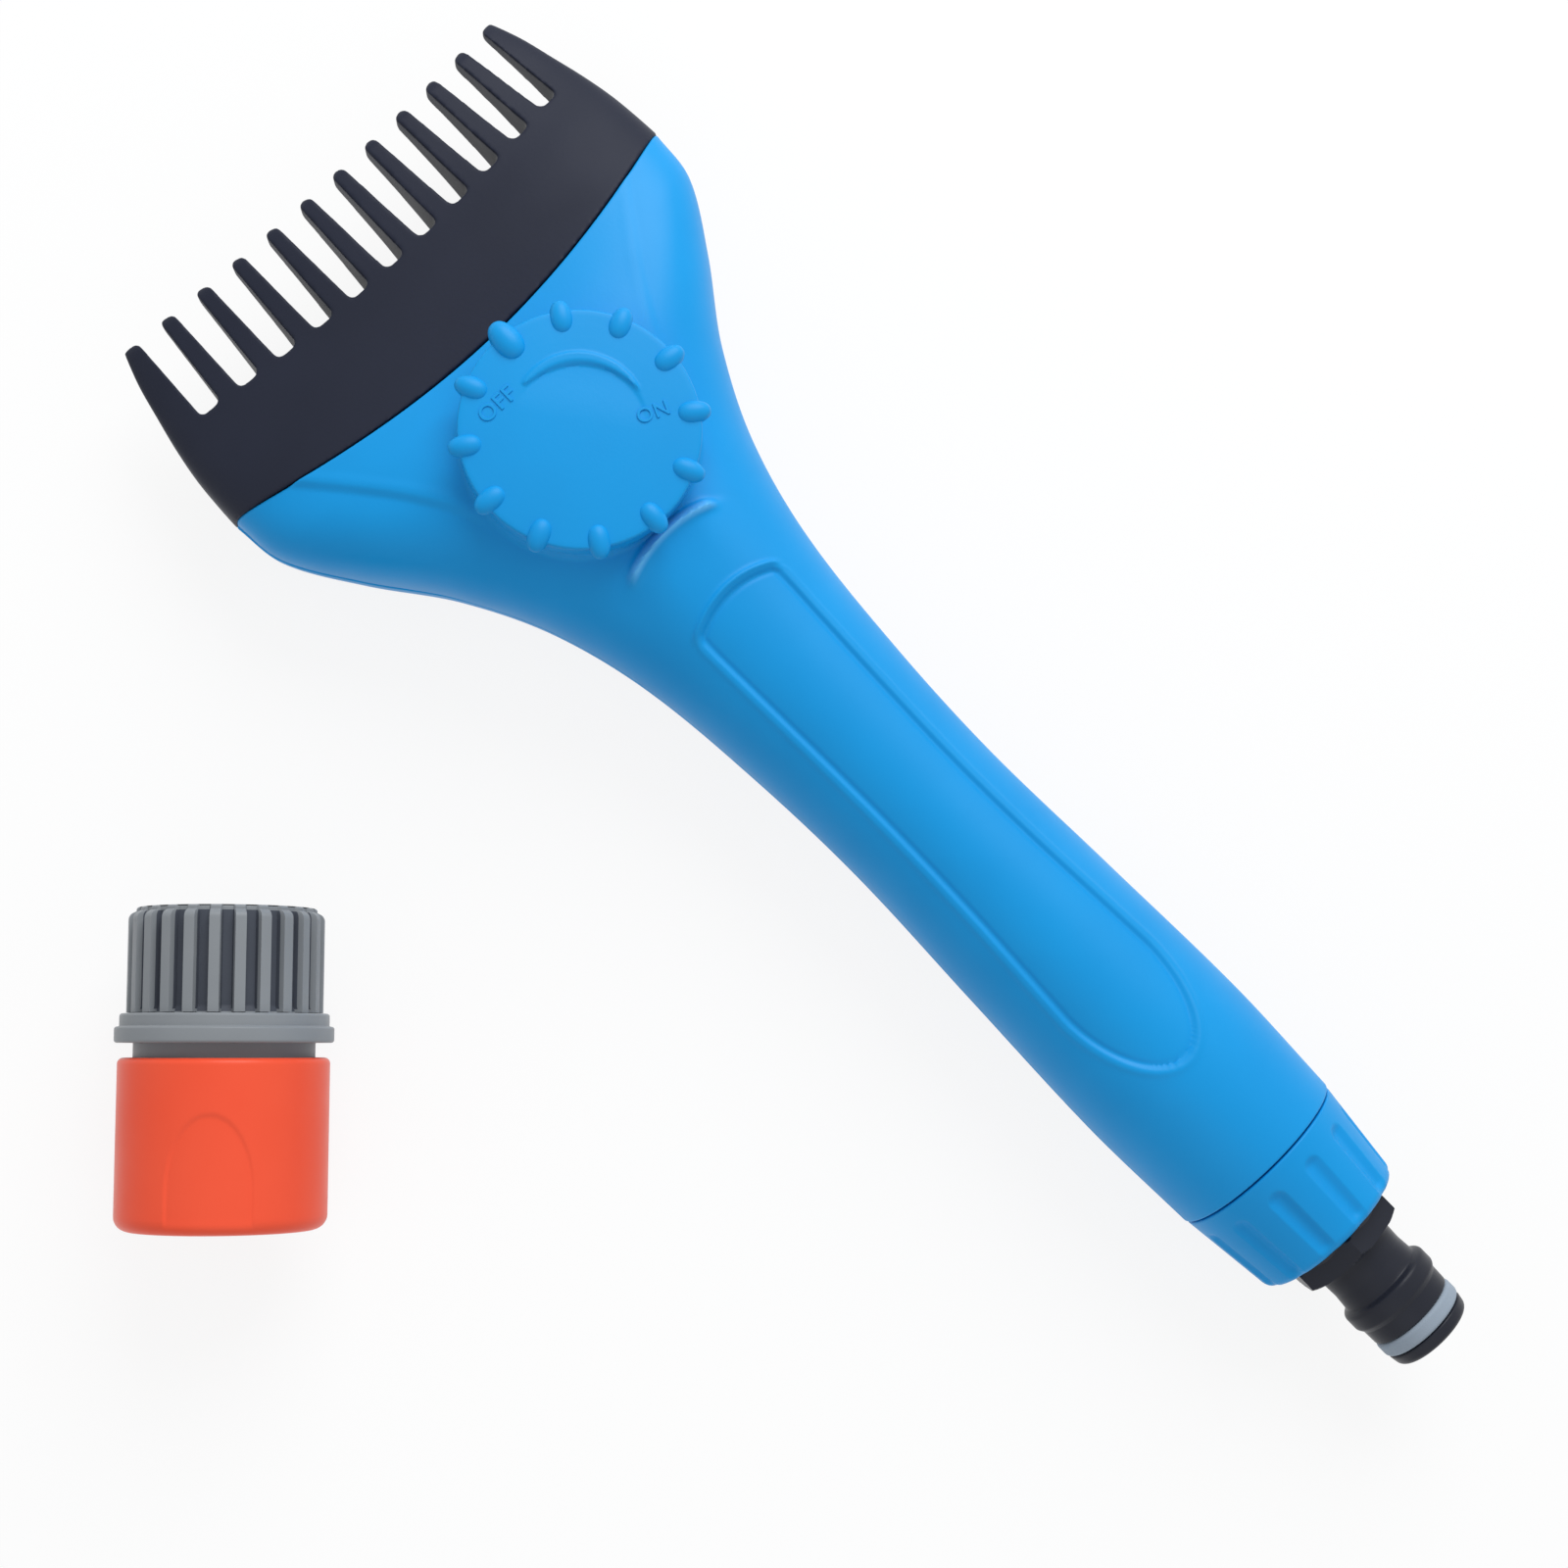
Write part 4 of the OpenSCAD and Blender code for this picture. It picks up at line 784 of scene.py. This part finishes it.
def nub(name, length, width, height, place):  # a grain, narrower toward its ends
    steps, around = 24, 32
    a = np.linspace(-math.pi / 2, math.pi / 2, steps + 1)
    t = np.linspace(0, 2 * math.pi, around, endpoint=False)
    across = np.abs(np.cos(a)) ** 0.8 * (1 - 0.1 * np.sin(a))
    along = np.repeat(length / 2 * np.sin(a)[:, None], around, 1)
    wide, tall = width / 2 * across[:, None], height / 2 * across[:, None]
    points = np.stack([along, wide * np.cos(t), tall * np.sin(t)], axis=-1)
    piece = addMesh(name, points, quads(steps + 1, around, 0, True))
    weld(piece, 60)
    piece.data.transform(place)
    return piece


def word(name, letters, size, radius, angle, lean):  # raised letters with rounded edges
    text = bpy.data.curves.new(name, "FONT")
    text.body = letters
    text.size = size * 0.001
    text.align_x = "CENTER"
    text.align_y = "CENTER"
    text.extrude = dial["letterHalf"] * 0.001
    text.bevel_depth = dial["letterRound"] * 0.001
    text.bevel_resolution = 2
    text.space_character = dial["letterSpace"]
    holder = addObject(name + "Curve", text)
    mesh = shownMesh(holder)
    bpy.data.objects.remove(holder)
    piece = addObject(name, mesh)
    a = math.radians(angle)
    place = moved(radius * math.cos(a), radius * math.sin(a), dial["rimZ"] + dial["wordRise"])
    mesh.transform(place @ spun(lean))
    for vertex in mesh.vertices:  # the letters follow the dome
        out = math.hypot(vertex.co.x, vertex.co.y) * 1000 / dial["radius"]
        vertex.co.z += dial["dome"] * (1 - out**2) * 0.001
    mesh.shade_smooth()
    mesh.set_sharp_from_angle(angle=math.radians(50))
    return piece


def buildDial():
    radius, rim = dial["radius"], dial["rimZ"]
    curve = (radius**2 + dial["dome"] ** 2) / (2 * dial["dome"])
    foot = rim + dial["dome"] - curve
    domeLine = [(r, foot + math.sqrt(curve**2 - r * r), 0) for r in np.linspace(0, radius - 0.9, 10)]
    corners = domeLine + [(radius, rim - 0.05, 0.85), (radius, dial["sideZ"], 0.25)] + dialUnder
    disc = turned("flowDial", corners, 480, 0.25, lambda r, h: h > rim - 0.1, dialTop)
    for k in range(dial["nubs"]):
        grow = dial["bigNub"] if k == 0 else 1.0
        turn = spun(dial["firstNub"] + 360 * k / dial["nubs"])
        gather(disc, nub("nub", dial["nubLength"] * grow, dial["nubWidth"] * grow, dial["nubHeight"] * grow,
                         turn @ moved(dial["nubRadius"], 0, rim - 0.6)))
    tidyNormals(disc, 42)
    ready(disc, absSkyBlue, "dial", "blue_dial", "dial")
    for spelling in dialWords:
        ready(word(*spelling), absSkyBlue, "dial", "blue_dial")
    print("stage: dial", len(disc.data.polygons))


buildDial()


# collar and nipple

collar = {"startY": -164.9, "length": 17.6, "wide": 16.4, "narrow": 14.4, "bore": 10.53, "throat": 8.58,
          "throatDeep": 4.5, "flutes": 12, "fluteDepth": 0.75, "fluteHalf": 1.75, "fluteStart": 3.0,
          "fluteTurn": 79.5, "seam": 0.35}


def collarFlutes(r, h, theta):  # shallow round-ended flutes for wet fingers
    outside = r > 13.0
    pitch = 2 * math.pi / collar["flutes"]
    turn = (theta - math.radians(collar["fluteTurn"]) + pitch / 2) % pitch
    off = np.abs(turn - pitch / 2) * collar["narrow"] + 0 * r
    off = np.hypot(off, np.maximum(collar["fluteStart"] + collar["fluteHalf"] - h, 0))
    across = (1 - np.clip(off / collar["fluteHalf"], 0, 1) ** 2) ** 1.5
    run = 1 - 0.7 * ease(h, collar["length"] - 2.4, collar["length"] - 0.4)
    return r - np.where(outside, collar["fluteDepth"] * across * run, 0), h


def buildCollar():
    length, bore, throat, deep = collar["length"], collar["bore"], collar["throat"], collar["throatDeep"]
    corners = [(collar["wide"], 0, collar["seam"]), (collar["narrow"], length, 1.7), (bore, length, 0.4),
               (bore, deep, 0.1), (throat, deep, 0.1), (throat, 0, 0.2)]
    piece = turned("swivelCollar", corners, 720, 0.25, lambda r, h: r > 13.5, collarFlutes, angle=50,
                   place=alongY(collar["startY"], handle["axisZ"]))
    ready(piece, absSkyBlue, "collar", "blue_shell", "end_collar")
    print("stage: collar", len(piece.data.polygons))


nipple = {"startY": -172.9, "bore": 4.0, "thread": 10.45, "hexY": -182.8, "hexHeight": 4.4, "hexAcross": 19.6,
          "hexBlank": 11.2, "hexHole": 4.6, "hexTurn": 34.7, "cone": 1.6, "ringY": -202.0}
# radius, place along Y and fillet from the thread over the neck and the ridge to the tip
nippleLine = [
    (nipple["bore"], nipple["startY"], 0.2), (nipple["thread"], nipple["startY"], 0.4),
    (nipple["thread"], -183.0, 0), (7.7, -186.9, 0.2), (7.42, -188.5, 1.5), (7.3, -191.5, 4),
    (7.5, -193.9, 1.2), (7.6, -194.6, 0.5), (8.75, -195.3, 0.9), (8.75, -198.0, 0.9), (8.1, -199.0, 0.5),
    (8.0, -202.0, 0.3), (6.6, -202.0, 0.1), (6.6, -205.1, 0.1), (7.95, -205.1, 0.35), (7.5, -207.6, 1.2),
    (5.2, -207.6, 0.2), (nipple["bore"], -206.9, 0.3)]
nippleRing = [(6.62, 0.1, 0), (8.15, 0.1, 0.8), (8.15, 3.0, 0.8), (6.62, 3.0, 0)]


def hexShape(r, h, theta):  # six flats whose corners are cut by a cone at both ends
    corner = 2 * math.pi / 6
    flat = nipple["hexAcross"] / 2 / np.cos((theta % corner) - corner / 2)
    limit = nipple["hexAcross"] / 2 + 0.35 + nipple["cone"] * np.minimum(h, nipple["hexHeight"] - h)
    return np.where(r > 8, np.minimum(limit, flat - 0.05), r), h


def buildNipple():
    axis = handle["axisZ"]
    corners = [(r, nipple["startY"] - y, fillet) for r, y, fillet in nippleLine]
    piece = turned("hoseNipple", corners, 192, 0.6, place=alongY(nipple["startY"], axis), angle=36)
    hole, blank, high = nipple["hexHole"], nipple["hexBlank"], nipple["hexHeight"]
    place = alongY(nipple["hexY"], axis) @ spun(nipple["hexTurn"])
    hexagon = turned("hexagon", [(hole, 0, 0), (blank, 0, 0), (blank, high, 0), (hole, high, 0)], 360, 0.22,
                     lambda r, h: r > 8, hexShape, place, angle=25)
    combine(piece, hexagon, "UNION")
    tidyNormals(piece, 32)
    ready(piece, acetalBlack, "nipple", "nipple_black", "nipple")
    ring = turned("nippleRing", nippleRing, 192, 0.3, place=alongY(nipple["ringY"], axis), angle=60)
    ready(ring, siliconeGrey, "nipple", "ring_grey", "nipple_o_ring")
    print("stage: nipple", len(piece.data.polygons))


buildCollar()
buildNipple()


# hose coupling, drawn upright from its sleeve end and then laid down

coupling = {"centre": (-113, -33, 17.85), "turn": 45.4, "length": 52.5, "ringRadius": 14.65, "ringLow": 35.2,
            "ribs": 24, "ribWidth": 1.95, "ribHeight": 1.25, "ribRound": 1.3, "groove": 0.45,
            "paintedShadeReach": (13.6, 14.75), "paintedShadeRun": (35.4, 51.6), "boreRadius": 13.25,
            "threadPitch": 1.814, "threadDepth": 0.75, "threadLow": 39.6,
            "windowTurns": (45, 135, 225, 315), "windowLow": (7.0, -3.5, 5.8), "windowHigh": (14.0, 3.5, 9.4)}
# radius, height and fillet down the outside, then up through the thread, the inner tube and the socket
couplingLine = [
    (12.2, 4.6, 0.3), (12.2, 27.0, 0.1), (14.7, 27.0, 0.2), (14.7, 30.4, 0.15), (17.74, 30.4, 0.5),
    (17.74, 33.0, 0.5), (16.95, 33.1, 0.15), (16.95, coupling["ringLow"], 0.5),
    (coupling["ringRadius"], coupling["ringLow"], 0.2), (coupling["ringRadius"], coupling["length"], 0.45),
    (coupling["boreRadius"], coupling["length"], 0.45), (coupling["boreRadius"], 36.6, 0.1),
    (5.65, 36.6, 0.15), (5.65, 51.5, 0.4), (3.7, 51.5, 0.35), (3.7, 24.0, 0.2), (8.2, 24.0, 0.1),
    (8.2, 14.2, 0.3), (9.0, 14.2, 0.1), (9.0, 4.6, 0.4)]


def couplingPlace():
    return (moved(*coupling["centre"]) @ spun(coupling["turn"])
            @ spun(90, "Y") @ moved(0, 0, -coupling["length"] / 2))


def couplingRibs(r, h, theta):  # ribs round the ring, grooves between them and the thread inside
    pitch = 2 * math.pi / coupling["ribs"]
    off = np.abs((theta + pitch / 2) % pitch - pitch / 2) * coupling["ringRadius"] + 0 * r
    rib = 1 - ease(off, coupling["ribWidth"] / 2 - 0.18, coupling["ribWidth"] / 2 + 0.12)
    top, tip = coupling["length"] - 0.8, coupling["ribRound"]
    run = np.sqrt(np.clip(1 - np.clip((h - top + tip) / tip, 0, 1) ** 2, 0, 1))
    run = run * (h > coupling["ringLow"] + 0.1)
    wall = (np.abs(r - coupling["ringRadius"]) < 0.3) & (h > coupling["ringLow"])
    groove = coupling["groove"] * (1 - rib) * ease(h, 35.4, 36.4)
    r = r + np.where(wall, coupling["ribHeight"] * rib * run - groove, 0)
    low, high = coupling["threadLow"], coupling["length"]
    bore = (np.abs(r - coupling["boreRadius"]) < 0.05) & (h > low - 0.8) & (h < high - 0.8)
    turnShare = (h / coupling["threadPitch"] - theta / (2 * math.pi)) % 1.0
    thread = 1 - np.abs(turnShare - 0.5) * 2
    thread = ease(thread, 0.15, 0.85) * ease(h, low - 0.8, low + 0.8)
    thread = thread * (1 - ease(h, high - 3.2, high - 1.4))
    return r - np.where(bore, coupling["threadDepth"] * thread, 0), h


sleeveLook = {"recesses": (60, 180, 300), "depth": 0.28, "halfWidth": 7.4, "straight": 7.0, "top": 19.5,
              "radius": 17.14, "length": 28, "lip": 2.2}


def thumbRecess(r, h, theta):  # three arched recesses for finger and thumb
    depth = np.zeros_like(r + theta)
    straight, half = sleeveLook["straight"], sleeveLook["halfWidth"]
    for centre in sleeveLook["recesses"]:
        off = (np.degrees(theta) - centre + 180) % 360 - 180
        across = np.radians(off) * sleeveLook["radius"]
        reach = np.hypot(across / half, np.maximum(h - straight, 0) / (sleeveLook["top"] - straight))
        inside = (1 - reach) * half
        depth = np.maximum(depth, sleeveLook["depth"] * ease(inside, 0.0, 0.55))
    outside = (r > 16.4) & (h > 0.6)
    return r - np.where(outside, depth * ease(h, 0.8, 2.6), 0), h


def buildCoupling():
    place = couplingPlace()
    body = turned("couplingShell", couplingLine, 576, 0.2, lambda r, h: h > 35.0 and r > 12.5, couplingRibs,
                  angle=40)
    for turn in coupling["windowTurns"]:  # the claws' windows
        window = box("window", coupling["windowLow"], coupling["windowHigh"])
        window.data.transform(spun(turn))
        combine(body, window)
    body.data.transform(place)
    tidyNormals(body, 40)
    ready(body, absGrey, "coupling", "coupling_grey", "coupling_body")
    # painted shade: faces in the grooves between the ribs take the darker copy of the grey
    body.data.materials.append(absGreyPaintedShade)
    back = place.inverted()
    inner, outer = coupling["paintedShadeReach"]
    low, high = coupling["paintedShadeRun"]
    for face in body.data.polygons:
        spot = back @ face.center * 1000
        if inner < math.hypot(spot.x, spot.y) < outer and low < spot.z < high:
            face.material_index = 1
    radius, length, lip = sleeveLook["radius"], sleeveLook["length"], sleeveLook["lip"]
    corners = [(10.2, 0, 0.6), (radius, 0, 2.4), (radius, length, 1.0), (15.1, length, 0.25), (15.1, 16, 0.2),
               (12.28, 16, 0.2), (12.28, lip, 0.2), (10.2, lip, 0.3)]
    sleeve = turned("couplingSleeve", corners, 576, 0.35, lambda r, h: r > 16.2, thumbRecess, place, angle=40)
    ready(sleeve, absOrange, "sleeve", "sleeve_orange", "release_sleeve")
    print("stage: coupling", len(body.data.polygons), len(sleeve.data.polygons))


spring = {"wire": 0.5, "turns": 4, "radius": 13.65, "low": 16.6, "high": 26.4, "fixed": 27.0, "shut": 0.8,
          "stepsPerTurn": 48, "sides": 12}


def buildSpring():  # steel wire behind the sleeve's shoulder, built at one length; the real one shortens when the sleeve is drawn back
    place, steps, sides = couplingPlace(), spring["stepsPerTurn"], spring["sides"]
    count = spring["turns"] * steps + 1
    t = np.arange(count) * 2 * math.pi / steps
    h = np.linspace(spring["low"], spring["high"], count)
    a = np.linspace(0, 2 * math.pi, sides, endpoint=False)
    r = spring["radius"] + spring["wire"] * np.cos(a)[None, :]
    rise = h[:, None] + spring["wire"] * np.sin(a)[None, :]
    points = np.stack([r * np.cos(t)[:, None], r * np.sin(t)[:, None], rise], -1)
    ends = [list(range(sides)), [(count - 1) * sides + k for k in range(sides)]]
    piece = addMesh("returnSpring", points, quads(count, sides, 0, True) + ends, 50)
    piece.data.transform(place)
    ready(piece, stainlessSteel, "coupling", "screw_steel", "sleeve_spring")
    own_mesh(piece)
    print("stage: spring")


buildCoupling()
buildSpring()


# floor and light: sizes and the lamps' aim in m, places in mm, power in watts

studio = {"floorHalf": 3.0, "floorDrop": 0.0002, "floorColour": "F4F5F6", "floorGlow": 0.86, "world": 0.56,
          "worldColour": "FFFFFF", "lampAim": (-0.02, -0.06, 0.02)}
lamps = {
    "keyLamp": {"place": (640, 360, 660), "size": 0.8, "power": 8.1},
    "fillLamp": {"place": (-420, -620, 620), "size": 0.9, "power": 0.6}}


def seenShare(tree):  # 1 for rays from the camera, also by way of gloss or clear plastic
    rays = addNode(tree, "ShaderNodeLightPath").outputs
    pair = {0: rays["Is Camera Ray"], 1: rays["Is Glossy Ray"]}
    seen = addNode(tree, "ShaderNodeMath", None, pair, operation="MAXIMUM")
    pair = {0: seen.outputs[0], 1: rays["Is Transmission Ray"]}
    return addNode(tree, "ShaderNodeMath", None, pair, operation="MAXIMUM").outputs[0]


def addFloor():
    size = studio["floorHalf"]
    corners = [(-size, -size, 0), (size, -size, 0), (size, size, 0), (-size, size, 0)]
    mesh = bpy.data.meshes.new("floor")
    mesh.from_pydata(corners, [], [[0, 1, 2, 3]])
    floor = addObject("floor", mesh)
    floor.location.z = -studio["floorDrop"]
    material = bpy.data.materials.new("white_seamless_paper_matt")  # plain ground that keeps a faint shadow
    tree = startTree(material)
    matt = addNode(tree, "ShaderNodeBsdfDiffuse", {"Color": linear(studio["floorColour"])}).outputs[0]
    glow = addNode(tree, "ShaderNodeEmission", {"Color": (1, 1, 1, 1), "Strength": 1.0}).outputs[0]
    seen = {0: seenShare(tree)}
    share = addNode(tree, "ShaderNodeMath", {1: studio["floorGlow"]}, seen, operation="MULTIPLY").outputs[0]
    mix = addNode(tree, "ShaderNodeMixShader", None, {0: share, 1: matt, 2: glow})
    addNode(tree, "ShaderNodeOutputMaterial", None, {"Surface": mix.outputs[0]})
    mesh.materials.append(material)


def addWorld():
    world = bpy.data.worlds.new("studio")
    scene.world = world
    tree = startTree(world)
    light = {"Color": linear(studio["worldColour"]), "Strength": studio["world"]}
    soft = addNode(tree, "ShaderNodeBackground", light).outputs[0]
    white = addNode(tree, "ShaderNodeBackground", {"Color": (1, 1, 1, 1), "Strength": 1.0}).outputs[0]
    mix = addNode(tree, "ShaderNodeMixShader", None, {0: seenShare(tree), 1: soft, 2: white})
    addNode(tree, "ShaderNodeOutputWorld", None, {"Surface": mix.outputs[0]})


def addLamps():
    for name, lamp in lamps.items():
        data = bpy.data.lights.new(name, "AREA")
        data.shape = "DISK"
        data.size = lamp["size"]
        data.energy = lamp["power"]
        holder = addObject(name, data)
        place = Vector(lamp["place"]) * 0.001
        aim = Vector(studio["lampAim"]) - place
        holder.matrix_world = Matrix.Translation(place) @ aim.to_track_quat("-Z", "Y").to_matrix().to_4x4()


addFloor()
addWorld()
addLamps()
scene.view_settings.view_transform = "Standard"
print("stage: studio")
